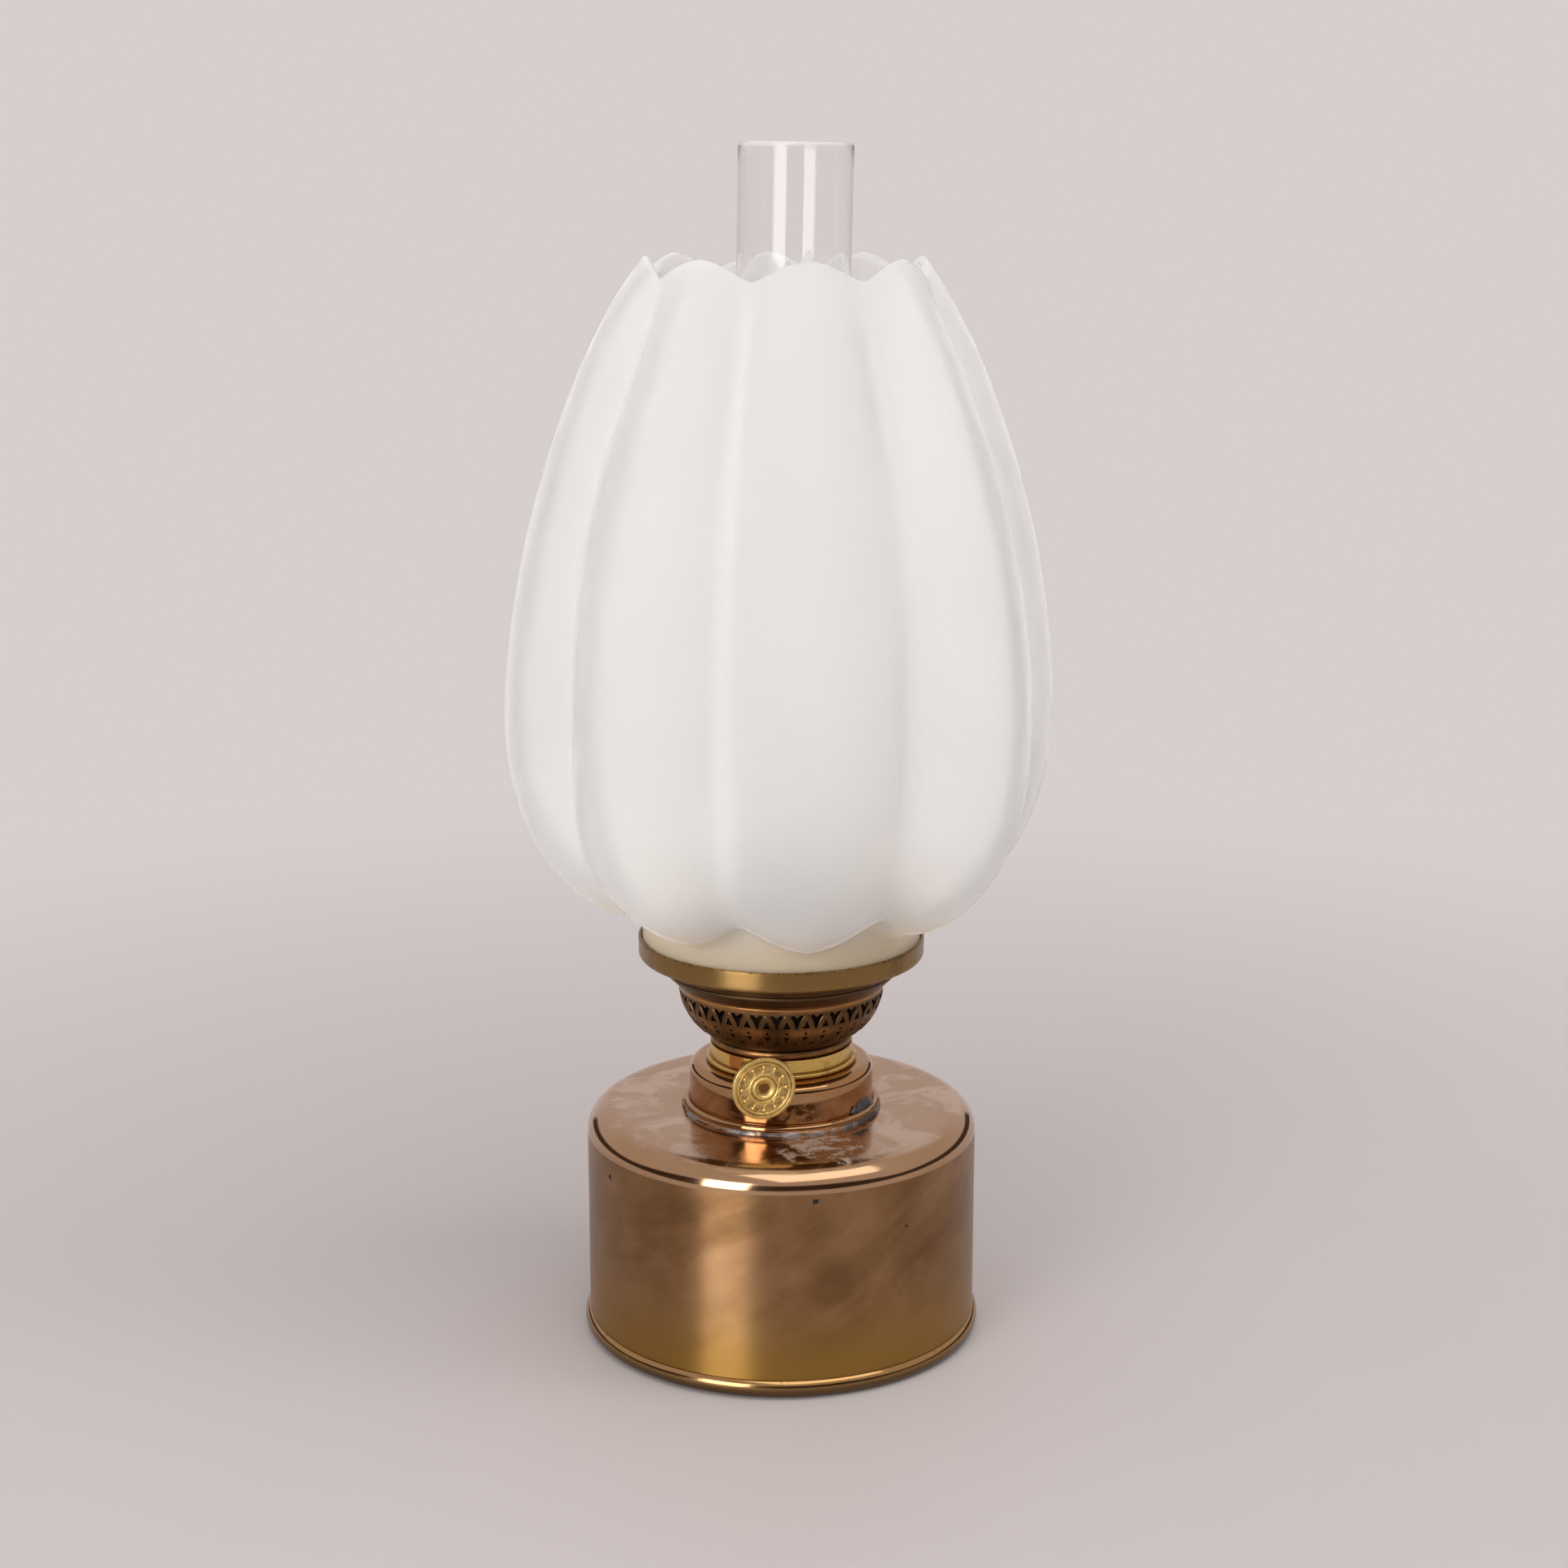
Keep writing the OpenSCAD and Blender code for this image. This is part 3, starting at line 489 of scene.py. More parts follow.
def paint_knob(f, c):
    """Matt gold with dirt in the recesses."""
    face = -bpy.context.scene.lamp_metal.knob_reach
    y = f.axes()[1]
    deep = f.step(y, face - 0.12 * MM, face + 0.28 * MM)
    back = f.step(y, face + 0.5 * MM, face + 0.9 * MM)
    dirt = f.step(f.grain(520, 5, 0.65, 3.0), 0.40, 0.66)
    spots = f.step(f.grain(330, 4, 0.6, 12.0), 0.60, 0.74)
    sand = f.grain(1500, 3, 0.6, 8.0)
    tint = f.mix(deep * (0.25 + 0.6 * dirt) * (1 - 0.4 * back), c.knob, c.knob_dark)
    tint = f.mix(0.6 * spots, tint, c.knob_dark)
    rough = 0.30 + 0.2 * dirt * deep + 0.12 * sand
    return f.metal(tint, rough, sand + 0.5 * dirt, 0.05 * MM)


def paint_bronze(f, c):
    """Dark patina, worn to copper on the bowl's girth, its band and its bead, with painted shade under the
    holder.
    """
    bowl_z = bpy.context.scene.lamp_metal.bowl_z
    girth_z = bowl_z - 7.8 * MM
    bead_z = bowl_z - 15.9 * MM
    z = f.height()
    wear = f.step(f.grain(90, 4, 0.6, 5.0), 0.46, 0.68)
    girth = f.within(z, girth_z - 3.0 * MM, girth_z, girth_z, girth_z + 3.2 * MM)
    band = f.within(z, bowl_z - 1.3 * MM, bowl_z - 0.7 * MM, bowl_z + 1.0 * MM, bowl_z + 1.5 * MM)
    bead = 1 - f.step(z, bead_z - 1.0 * MM, bead_z)
    show = f.step(0.30 * wear + 0.30 * girth + 0.60 * band + 0.4 * bead, 0.05, 1.0)
    tint = f.mix(show, c.bronze, c.bronze_worn)
    # painted shade: the top of the bowl, under the holder, is darkened
    tint = f.mix(0.75 * f.step(z, bowl_z + 2.6 * MM, bowl_z + 4 * MM), tint, c.tarnish_and_painted_shade)
    rough = 0.36 - 0.12 * show + 0.12 * f.grain(500, 3, 0.6)
    return f.metal(tint, rough, f.grain(420, 4, 0.6, 2.0), 0.06 * MM)


def paint_holder(f, c):
    """Aged brushed brass, nicked along the rim, with painted shade on the dish below the rim."""
    rim_z = high("shade_holder").z
    z = f.height()
    brushed = f.grain(1, 3, 0.65, 1.0, stretch=(900.0, 900.0, 60.0))
    cloud = f.grain(75, 5, 0.62, 6.0)
    edge = f.step(z, rim_z - 0.8 * MM, rim_z - 0.3 * MM)
    nicks = edge * f.step(f.grain(1, 2, 0.6, 3.0, stretch=(800.0, 800.0, 120.0)), 0.50, 0.62)
    # painted shade on the holder's dish below the rim
    under = 1 - f.step(z, rim_z - 7.2 * MM, rim_z - 6.2 * MM)
    specks = f.specks(330, 0.14, 0.10, 5.0)
    dark = 0.55 * f.step(cloud, 0.5, 0.75) + 0.5 * nicks + 0.7 * under + 0.8 * specks
    tint = f.mix(f.step(dark, 0.0, 1.0), c.holder, c.tarnish_and_painted_shade)
    rough = 0.31 + 0.10 * brushed + 0.2 * nicks
    dent = 0.25 * brushed + cloud - 0.4 * nicks
    return f.metal(tint, rough, dent, 0.07 * MM, anisotropic=0.9, anisotropic_rotation=0.25)


def paint_cotton(f, c):
    """Woven cotton, oily below and burnt at the top."""
    top = high("wick").z
    z = f.height()
    weft = f.grain(1, 2, 0.5, 2.0, stretch=(700.0, 700.0, 2600.0))
    burnt = f.step(z + f.grain(300, 3) * (4 * MM), top - 3.5 * MM, top + 0.5 * MM)
    oiled = 1 - f.step(z, 40 * MM, 90 * MM)
    tint = f.mix(0.5 * weft, c.cotton, c.holder)
    tint = f.mix(0.35 * oiled, tint, c.holder)
    tint = f.mix(burnt, tint, c.char)
    return f.shade(base_color=tint, roughness=0.85 + 0.1 * weft, normal=f.bump(weft, 0.2 * MM))


def paint_frost(f, c):
    """Frosted glass, denser in the creases, with a painted warm tint over the holder for the brass seen
    through it.
    """
    s = bpy.context.scene.lamp_glass
    x, y, z = f.axes()
    seat = shade_seat()
    # painted tint: a warm colour near the holder stands in for the brass seen through the glass
    painted_brass_tint = 1 - f.step(z, seat + 7 * MM, seat + 26 * MM)
    lower = 1 - f.step(z, seat + 15 * MM, seat + 80 * MM)
    cloud = f.grain(24, 4, 0.6, 4.0)
    satin = f.grain(1800, 2, 0.6, 1.0)
    tint = f.mix(0.8 * painted_brass_tint + 0.05 * cloud, c.frost, c.frost_painted_brass)
    turn = x.math("ARCTAN2", y, x) - s.shade_turn
    crease = 1 - f.step(turn.math("COSINE", s.lobes * turn, 0.0), -1.0, -0.88)
    sheen = {"sheen_weight": 0.5, "sheen_roughness": 0.35}
    dent = satin + 3 * f.grain(30, 2)
    glass = f.principled(base_color=tint, roughness=0.90 + 0.06 * cloud - 0.4 * painted_brass_tint, ior=1.16,
                         transmission_weight=0.84, normal=f.bump(dent, 0.03 * MM), **sheen)
    thick = f.principled(base_color=tint, roughness=0.6, **sheen)
    return f.blend(0.07 * (1 - painted_brass_tint) * crease + 0.2 * lower, glass, thick)


def paint_clear(f, c):
    """Clear glass with slow waves, a breath of smoke and a ground rim."""
    top = high("glass_chimney").z
    rim = f.step(f.height(), top - 1.7 * MM, top - 1.0 * MM)
    wave = f.grain(1, 2, 0.5, 3.0, stretch=(55.0, 55.0, 6.0))
    smoke = f.step(f.grain(30, 4, 0.6, 7.0), 0.45, 0.8)
    tint = f.mix(0.05 * smoke, c.clear, c.backdrop)
    glass = f.principled(base_color=tint, roughness=0.004 * smoke, ior=1.33, transmission_weight=1.0,
                         normal=f.bump(wave, 0.03 * MM))
    ground = f.principled(base_color=f.mix(wave, c.frost, c.backdrop), roughness=0.5)
    return f.blend(0.55 * rim, glass, ground)


def paint_floor(f, c):
    """A matt floor that turns into the plain background away from the lamp."""
    x, y, _ = f.axes()
    far = f.step((x * x + y * y) ** 0.5, 0.10, 0.75)
    paper = f.grain(9, 3, 0.5)
    tint = f.mix(0.12 * paper, c.floor, c.backdrop)
    matt = f.principled(base_color=tint, roughness=0.55 + 0.1 * paper)
    glow = f.node("ShaderNodeEmission", None, {"Color": c.backdrop, "Strength": 1.0})
    return f.blend(far * f.seen(), matt, glow)


def paint_card(f, c):
    """Dim card for the reflections."""
    return f.shade(base_color=f.mix(f.grain(2, 2), c.dim, c.lead_dark), roughness=0.9)


KEPT_NODES = {
    ("inner_brass", paint_inner): ("font_base", "screw_collar", "burner_floor", "chimney_seat",
                                   "chimney_prongs"),
    ("burner_brass", paint_brass): ("burner_base", "spindle_bush"),
    ("sooty_brass", paint_sooty): ("burner_deck", "wick_tube", "air_tube", "bearing_bracket"),
    ("spindle_brass", paint_spindle): ("spindle", "knob_rivet"),
    ("wheel_steel", paint_wheel): ("front_wheel", "rear_wheel"),
    ("gallery_bronze", paint_bronze): ("gallery_rivets",),
    ("holder_brass", paint_holder): ("holder_ring",),
}


def everything(bm):
    return bm.verts[:] + bm.edges[:] + bm.faces[:]


def closed_wire(bm, places):
    """Joins new points in a closed wire."""
    verts = [bm.verts.new(place) for place in places]
    for first, second in zip(verts, verts[1:] + verts[:1]):
        bm.edges.new((first, second))
    return verts


def round_off(bm, verts, offset, segments):
    """Rounds corners of a wire."""
    bmesh.ops.bevel(bm, geom=verts, offset=offset, offset_type="OFFSET", segments=segments, profile=0.5,
                    affect="VERTICES", material=-1)


def spin_section(bm, corners, steps, segments=8, rows=0.0):
    """Spins a closed half section of (radius, height, rounding) corners round the lamp's axis."""
    verts = closed_wire(bm, [(r, 0.0, z) for r, z, _ in corners])
    for vert, (_, _, rounding) in zip(verts, corners):
        if rounding:
            round_off(bm, [vert], rounding, segments)
    bmesh.ops.remove_doubles(bm, verts=bm.verts, dist=FINE_GAP)
    if rows:
        for edge in [e for e in bm.edges if e.calc_length() > 2 * rows]:
            bmesh.ops.subdivide_edges(bm, edges=[edge], cuts=int(edge.calc_length() / rows))
    bmesh.ops.spin(bm, geom=everything(bm), angle=math.tau, steps=steps, use_merge=True,
                   use_duplicate=False, **LAMP_AXIS)


def repeat_round(bm, count):
    """Repeats the mesh round the lamp's axis."""
    bmesh.ops.spin(bm, geom=everything(bm), angle=math.tau * (1 - 1 / count), steps=count - 1,
                   use_duplicate=True, **LAMP_AXIS)


def slice_by(bm, cuts):
    """Cuts the mesh along planes, each given by a point and its facing."""
    for place, facing in cuts:
        bmesh.ops.bisect_plane(bm, geom=everything(bm), plane_co=place, plane_no=facing)


def join(bm, other):
    """Adds another mesh to this one."""
    mesh = bpy.data.meshes.new("joined")
    other.to_mesh(mesh)
    other.free()
    bm.from_mesh(mesh)
    bpy.data.meshes.remove(mesh)


def turned(bm, corners, steps, segments=8, rows=0.0):
    """Adds a ring that is spun from a closed half section."""
    ring = bmesh.new()
    spin_section(ring, corners, steps, segments, rows)
    close_up(ring)
    join(bm, ring)


def add_bead(bm, away, z, r):
    """Adds a round bead at a distance from the axis and a height."""
    turned(bm, [(away - r, z - r, r), (away + r, z - r, r), (away + r, z + r, r), (away - r, z + r, r)],
           steps=192, segments=6)


def close_up(bm, gap=WELD_GAP):
    bmesh.ops.remove_doubles(bm, verts=bm.verts, dist=gap)
    bmesh.ops.recalc_face_normals(bm, faces=bm.faces)


def face_outwards(bm):
    """Turns the faces of an open wall away from the lamp's axis."""
    bm.normal_update()
    if sum(face.normal.xy.dot(face.calc_center_median().xy) for face in bm.faces) < 0:
        bmesh.ops.reverse_faces(bm, faces=bm.faces)


def wobble(bm, amount, size, shift=0.0):
    """Moves each point a little along its normal, as old sheet metal waves."""
    bm.normal_update()
    offset = Vector((shift, shift, shift))
    moves = [(v, v.normal * amount * noise.noise(v.co / size + offset)) for v in bm.verts]
    for vert, move in moves:
        vert.co += move


def add_object(bm, name, finish):
    """Makes a mesh object with a finish."""
    mesh = bpy.data.meshes.new(name)
    bm.to_mesh(mesh)
    bm.free()
    mesh.materials.append(finish)
    made = bpy.data.objects.new(name, mesh)
    bpy.context.scene.collection.objects.link(made)
    return made


def hand_over(bm, name, body, node, slot, paint, sharp=38):
    """Makes a smooth mesh object of the piece, in place of its node, with its slot's finish."""
    piece = add_object(bm, name, shared(slot, paint))
    piece.data.shade_smooth()
    piece.data.set_sharp_from_angle(angle=math.radians(sharp))
    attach(piece, body)
    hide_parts(node)
    return piece


def leaning(seat, foot_r, angle, heading):
    """Places a glass on its seat, leaning towards a heading, so that its foot just clears the seat."""
    there = Matrix.Rotation(heading, 4, "Z")
    lift = Matrix.Translation((0, 0, seat + foot_r * math.sin(angle) + SEAT_GAP))
    return lift @ there @ Matrix.Rotation(angle, 4, "Y") @ there.inverted()


def shade_seat():
    """Height of the holder's floor, on which the shade stands."""
    return high("gallery_basket").z + bpy.context.scene.lamp_metal.holder_rise


class LAMP_OT_font(bpy.types.Operator):
    """Turn the font's shell and its rolled foot"""

    bl_idname = "lamp.font"
    bl_label = "Font"

    def execute(self, context):
        s = context.scene.lamp_metal
        self.shell(s)
        self.foot(s)
        return {"FINISHED"}

    def shell(self, s):
        inside = s.font_r - s.font_wall
        under = s.font_top - s.font_wall
        bm = bmesh.new()
        spin_section(bm, [
            (s.font_r, s.crease, 0), (s.font_r, s.font_top, s.shoulder), (s.font_hole, s.font_top, 0),
            (s.font_hole, under, 0), (inside, under, s.shoulder - s.font_wall), (inside, s.crease, 0),
        ], steps=240, segments=14, rows=3 * MM)
        close_up(bm)
        wobble(bm, 0.06 * MM, 22 * MM)
        for face in bm.faces:
            face.material_index = int(face.calc_center_median().z > s.font_top - s.shoulder)
        piece = hand_over(bm, "font_shell_turned", "font", "font_shell", "font_copper", paint_font)
        piece.data.materials.append(shared("font_top", paint_font_top))

    def foot(self, s):
        edge = 0.3 * MM
        bead_in, bead_top = s.foot_r - s.foot_bead, 2 * s.foot_bead
        ledge = s.crease - 0.1 * MM
        bm = bmesh.new()
        spin_section(bm, [
            (s.foot_in, 0, edge), (s.foot_r, 0, s.foot_bead), (s.foot_r, bead_top, s.foot_bead),
            (bead_in, bead_top, 0), (bead_in, ledge, 0), (s.foot_in, ledge, edge),
        ], steps=240, segments=10)
        hidden = [v for v in bm.verts if v.co.z > s.crease and v.co.xy.length < s.font_r]
        for vert in hidden:
            vert.co.z = s.crease - 0.05 * MM
        close_up(bm)
        hand_over(bm, "font_foot_rolled", "font", "font_foot", "foot_brass", paint_foot)


class LAMP_OT_neck(bpy.types.Operator):
    """Turn the neck collar and lay the solder round its base"""

    bl_idname = "lamp.neck"
    bl_label = "Neck"

    def execute(self, context):
        s = context.scene.lamp_metal
        self.collar(s)
        self.solder(s)
        return {"FINISHED"}

    def bead_out(self, s):
        return s.neck_r + 0.7 * s.neck_bead

    def collar(self, s):
        edge = 0.25 * MM
        inside = s.neck_r - s.neck_wall
        under = s.neck_top - s.neck_wall
        bm = bmesh.new()
        turned(bm, [
            (s.neck_r, s.font_top, 0), (s.neck_r, s.neck_top, s.neck_edge), (s.neck_bore, s.neck_top, edge),
            (s.neck_bore, under, edge), (inside, under, s.neck_edge - s.neck_wall), (inside, s.font_top, 0),
        ], steps=192, segments=12, rows=3 * MM)
        add_bead(bm, self.bead_out(s), s.neck_bead_z, s.neck_bead)
        wobble(bm, 0.05 * MM, 15 * MM, 4.0)
        hand_over(bm, "neck_collar_turned", "font", "neck_collar", "neck_copper", paint_neck)

    def solder(self, s):
        edge = high("neck_solder").x - 0.45 * MM
        inside = self.bead_out(s)
        bm = bmesh.new()
        spin_section(bm, [
            (inside, s.font_top, 0), (edge, s.font_top, 0),
            (edge - 0.25 * MM, s.font_top + 0.75 * MM, 0.3 * MM),
            (edge - 0.8 * MM, s.neck_bead_z - 0.35 * MM, 0.3 * MM),
            (inside, s.neck_bead_z - s.neck_bead - 0.2 * MM, 0),
        ], steps=300, segments=4, rows=0.5 * MM)
        close_up(bm)
        wobble(bm, 0.28 * MM, 3.2 * MM, 2.0)
        wobble(bm, 0.12 * MM, 1.1 * MM, 7.0)
        for vert in bm.verts:
            vert.co.z = max(vert.co.z, s.font_top - 0.2 * MM)
        self.crust(bm, s)
        hand_over(bm, "neck_solder_laid", "font", "neck_solder", "solder", paint_solder, sharp=80)

    def crust(self, bm, s):
        """A rough lump of solder against the neck."""
        made = bmesh.ops.create_icosphere(bm, subdivisions=5, radius=1.0)["verts"]
        heading = Matrix.Rotation(math.radians(-43), 4, "Z")
        there = Matrix.Translation((s.neck_r - 0.2 * MM, 0, s.neck_bead_z + CRUST_LIFT))
        size = Matrix.Diagonal((*mm(1.3, 6.4, 2.5), 1.0))
        bmesh.ops.transform(bm, matrix=heading @ there @ size, verts=made)
        for vert in made:
            coarse, fine = noise.noise(vert.co / (2.4 * MM)), noise.noise(vert.co / (0.9 * MM))
            outward = 1 + (0.6 * coarse + 0.2 * fine) * MM / vert.co.xy.length
            vert.co.x *= outward
            vert.co.y *= outward
            vert.co.z += 0.9 * MM * noise.noise(vert.co / (1.7 * MM) + Vector((9, 9, 9)))


class LAMP_OT_gallery(bpy.types.Operator):
    """Pierce the bowl of the gallery and add its beads and lip"""

    bl_idname = "lamp.gallery"
    bl_label = "Gallery basket"

    def outline(self, bm, points, rounding=0.0):
        """A closed outline of the flat pattern, in millimetres."""
        verts = closed_wire(bm, [mm(x, y, 0) for x, y in points])
        if rounding:
            round_off(bm, verts, rounding * MM, 2)

    def hole(self, bm, half, turn, drop, rounding):
        """A hole that is the same left and right, given by its right half."""
        s = bpy.context.scene.lamp_metal
        across = s.bowl_r / (s.bowl_r - s.bowl_round * (1 - math.cos(drop * MM / s.bowl_round)))
        left = [(-x, y) for x, y in reversed(half) if x > 0]
        self.outline(bm, [(turn + x * across, drop + y) for x, y in half + left], rounding)

    def on_bowl(self, flat, height=0.0):
        """Where a point of the flat pattern lies on the bowl."""
        s = bpy.context.scene.lamp_metal
        turn = flat.x / s.bowl_r
        drop = flat.y / s.bowl_round
        away = s.bowl_r - s.bowl_round + (s.bowl_round + height) * math.cos(drop)
        return Vector((away * math.cos(turn), away * math.sin(turn),
                       s.bowl_z - (s.bowl_round + height) * math.sin(drop)))

    def execute(self, context):
        s = context.scene.lamp_metal
        bm = bmesh.new()
        self.pierce(bm, s)
        join(bm, self.ridges(s))
        self.rings(bm, s)
        hand_over(bm, "gallery_basket_pierced", "gallery", "gallery_basket", "gallery_bronze", paint_bronze,
                  sharp=45)
        return {"FINISHED"}

    def pierce(self, bm, s):
        """One motif of the flat pattern, cut into rows and columns, bent on the bowl and repeated."""
        rows, columns = 24, 8
        pitch = math.tau * s.bowl_r / s.motifs
        deepest = s.bowl_round * math.radians(70)
        between = 0.5 * pitch / MM
        side = [(-0.4, 0), (-0.45, 1.7), (-0.75, 2.9), (-1.3, 4.4), (-1.55, 6.4), (-1.55, deepest / MM)]
        peak = [(0, -1.6), (0.45, -0.6), (0.95, 0.5), (1.2, 1.05)]
        eye = [(0, -0.5), (0.3, -0.4), (0.48, 0), (0.3, 0.4), (0, 0.5)]
        drop = [(0, -0.75), (0.8, -0.9), (0.5, 0.2), (0, 1.05)]
        heart = [(0, -1.45), (0.9, -2.3), (1.6, -2.4), (2.0, -2.0), (1.5, -0.8), (0.85, 0.6), (0.35, 2.0),
                 (0, 2.6)]
        arrow = [(0, -1.1), (0.3, -0.1), (1.0, 0.6), (0.75, 0.8), (0, 0.45)]
        self.outline(bm, side + [(x + pitch / MM, y) for x, y in reversed(side)])
        self.hole(bm, peak, 0, 5.0, 0.14)
        self.hole(bm, eye, 0, 8.1, 0)
        self.hole(bm, drop, 0, 10.3, 0.1)
        self.hole(bm, heart, between, 3.9, 0.14)
        self.hole(bm, arrow, between, 12.9, 0.08)
        bmesh.ops.triangle_fill(bm, use_beauty=True, use_dissolve=False, edges=bm.edges)
        slice_by(bm, [((0, row * deepest / rows, 0), (0, 1, 0)) for row in range(1, rows)])
        slice_by(bm, [((column / columns * pitch, 0, 0), (1, 0, 0)) for column in range(-2, columns)])
        for vert in bm.verts:
            vert.co = self.on_bowl(vert.co)
        repeat_round(bm, s.motifs)
        bmesh.ops.remove_doubles(bm, verts=bm.verts, dist=0.004 * MM)
        face_outwards(bm)
        bmesh.ops.solidify(bm, geom=bm.faces[:], thickness=s.bowl_wall)

    def rings(self, bm, s):
        """The bead under the bowl, the bands over the piercing and the flared lip."""
        edge = 0.2 * MM
        foot_z, lip_z = low("gallery_basket").z, high("gallery_basket").z
        bead_top, bead_r = foot_z + 2 * s.bowl_bead, s.bowl_sleeve + 2.9 * MM
        turned(bm, [
            (s.bowl_sleeve, foot_z, edge), (bead_r, foot_z, s.bowl_bead), (bead_r, bead_top, s.bowl_bead),
            (s.bowl_sleeve, bead_top, edge),
        ], steps=192, segments=6)
        add_bead(bm, s.bowl_r + 0.35 * MM - s.band_r, s.bowl_z + 0.1 * MM, s.band_r)
        add_bead(bm, s.bowl_r + 0.2 * MM, s.bowl_z + 2.0 * MM, 0.4 * MM)
        wall = s.bowl_wall
        inside = s.bowl_r - 3 * wall
        turned(bm, [
            (inside, s.bowl_z, 0), (s.bowl_r, s.bowl_z, 0), (s.lip_r, lip_z - wall, edge),
            (s.lip_r, lip_z, edge), (s.lip_r - wall, lip_z, 0), (s.bowl_r - wall, s.bowl_z + wall, 0),
            (inside, s.bowl_z + wall, 0),
        ], steps=192, segments=3)

    def ridges(self, s):
        """Raised bands in the outline of a pointed oval round each set of holes."""
        top, bottom, half = mm(1.8, 14.6, 2.45)
        bm = bmesh.new()
        loops = []
        for inset, height in (mm(0.32, -0.06), mm(0.16, 0.15), mm(-0.16, 0.15), mm(-0.32, -0.06)):
            made = bmesh.ops.create_circle(bm, segments=36, radius=1.0)["verts"]
            for vert in made:
                down = 0.5 - 0.5 * vert.co.y
                wide = math.sin(math.pi * down ** 0.75) if 0 < down < 1 else 0.0
                aside = wide * half + (inset if wide else 0.0)
                along = top + (bottom - top) * down - inset * vert.co.y
                vert.co = self.on_bowl(Vector((math.copysign(aside, vert.co.x), along)), height)
            loops.append(list({e for v in made for e in v.link_edges}))
        for first, second in zip(loops, loops[1:] + loops[:1]):
            bmesh.ops.bridge_loops(bm, edges=first + second)
        bmesh.ops.recalc_face_normals(bm, faces=bm.faces)
        repeat_round(bm, s.motifs)
        return bm


class LAMP_OT_holder(bpy.types.Operator):
    """Turn the shade holder with its upright rim"""

    bl_idname = "lamp.holder"
    bl_label = "Shade holder"

    def execute(self, context):
        s = context.scene.lamp_metal
        z, top = low("shade_holder").z, high("shade_holder").z
        wall, floor = s.holder_wall, shade_seat()
        hole_edge, rim_edge, bend = mm(0.2, 0.3, 0.8)
        bm = bmesh.new()
        spin_section(bm, [
            (s.dish_in, z, hole_edge), (s.lip_r, z, bend), (s.dish_step, floor - wall, bend),
            (s.holder_r, floor - wall, s.holder_edge), (s.holder_r, top, rim_edge),
            (s.holder_r - wall, top, rim_edge), (s.holder_r - wall, floor, rim_edge),
            (s.dish_step - wall, floor, bend), (s.lip_r - wall / 2, z + wall, bend),
            (s.dish_in, z + wall, hole_edge),
        ], steps=240, segments=6, rows=1.2 * MM)
        close_up(bm)
        wobble(bm, 0.03 * MM, 9 * MM, 6.0)
        hand_over(bm, "shade_holder_turned", "gallery", "shade_holder", "holder_brass", paint_holder)
        return {"FINISHED"}


class LAMP_OT_knob(bpy.types.Operator):
    """Stamp the wick knob with its rings, pearls and scallops"""

    bl_idname = "lamp.knob"
    bl_label = "Wick knob"

    def execute(self, context):
        s = context.scene.lamp_metal
        bm = bmesh.new()
        self.disc(bm, s)
        ring_r = s.knob_r - 2.9 * MM
        step = math.tau / s.pearls
        sunk = Matrix.Translation((ring_r, 0, -0.2 * MM)) @ Matrix.Diagonal((1.0, 1.0, 0.9, 1.0))
        for index in range(s.pearls):
            pearl = bmesh.ops.create_icosphere(bm, subdivisions=3, radius=0.62 * MM)["verts"]
            bmesh.ops.transform(bm, matrix=Matrix.Rotation(index * step, 4, "Z") @ sunk, verts=pearl)
            self.scallop(bm, ring_r, step, Matrix.Rotation((index + 0.5) * step, 4, "Z"))
        close_up(bm, FINE_GAP)
        axle = (low("spindle") + high("spindle")) / 2
        face = Matrix.Translation((axle.x, -s.knob_reach, axle.z)) @ Matrix.Rotation(math.pi / 2, 4, "X")
        bmesh.ops.transform(bm, matrix=face, verts=bm.verts)
        hand_over(bm, "wick_knob_stamped", "winder", "wick_knob", "knob_brass", paint_knob)
        return {"FINISHED"}

    def disc(self, bm, s):
        """The disc with its hub and rings, from a half section in millimetres."""
        r, back = s.knob_r / MM, -s.knob_t / MM
        hole, hub, hub_back = 1.62, 3.4, back - 2.4
        section = [
            (hole, hub_back, 0), (hub, hub_back, 0.3), (hub, back, 0.3), (r, back, 0.45), (r, 0, 0.45),
            (r - 1.15, 0, 0.2), (r - 1.3, -0.35, 0.1), (r - 1.5, -0.3, 0.1), (r - 1.6, 0.22, 0.12),
            (r - 1.95, 0.22, 0.14), (r - 2.15, -0.22, 0.2), (4.75, -0.18, 0.4), (4.25, 0.18, 0.3),
            (3.75, -0.3, 0.12), (3.3, 0.42, 0.25), (2.7, 0.42, 0.25), (2.2, -0.1, 0.2), (hole, -0.25, 0.1),
        ]
        spin_section(bm, [mm(*corner) for corner in section], steps=128, segments=4)

    def scallop(self, bm, ring_r, step, there):
        """A raised arc between two pearls that bulges towards the hub."""
        chord = ring_r * math.sin(step / 2)
        middle = ring_r * math.cos(step / 2)
        upright = Matrix.Rotation(math.pi / 2, 4, "X") @ Matrix.Rotation(math.pi / 2, 4, "Y")
        ring = bmesh.ops.create_circle(bm, segments=10, radius=0.26 * MM, cap_ends=True)["verts"]
        stand = there @ Matrix.Translation((middle, -chord, -0.2 * MM)) @ upright
        bmesh.ops.transform(bm, matrix=stand, verts=ring)
        faces = list({f for v in ring for f in v.link_faces})
        edges = list({e for v in ring for e in v.link_edges})
        bmesh.ops.spin(bm, geom=ring + edges + faces, cent=there @ Vector((middle, 0, 0)), axis=(0, 0, 1),
                       dvec=(0, 0, 0), angle=-math.pi, steps=14, use_merge=False, use_duplicate=False)


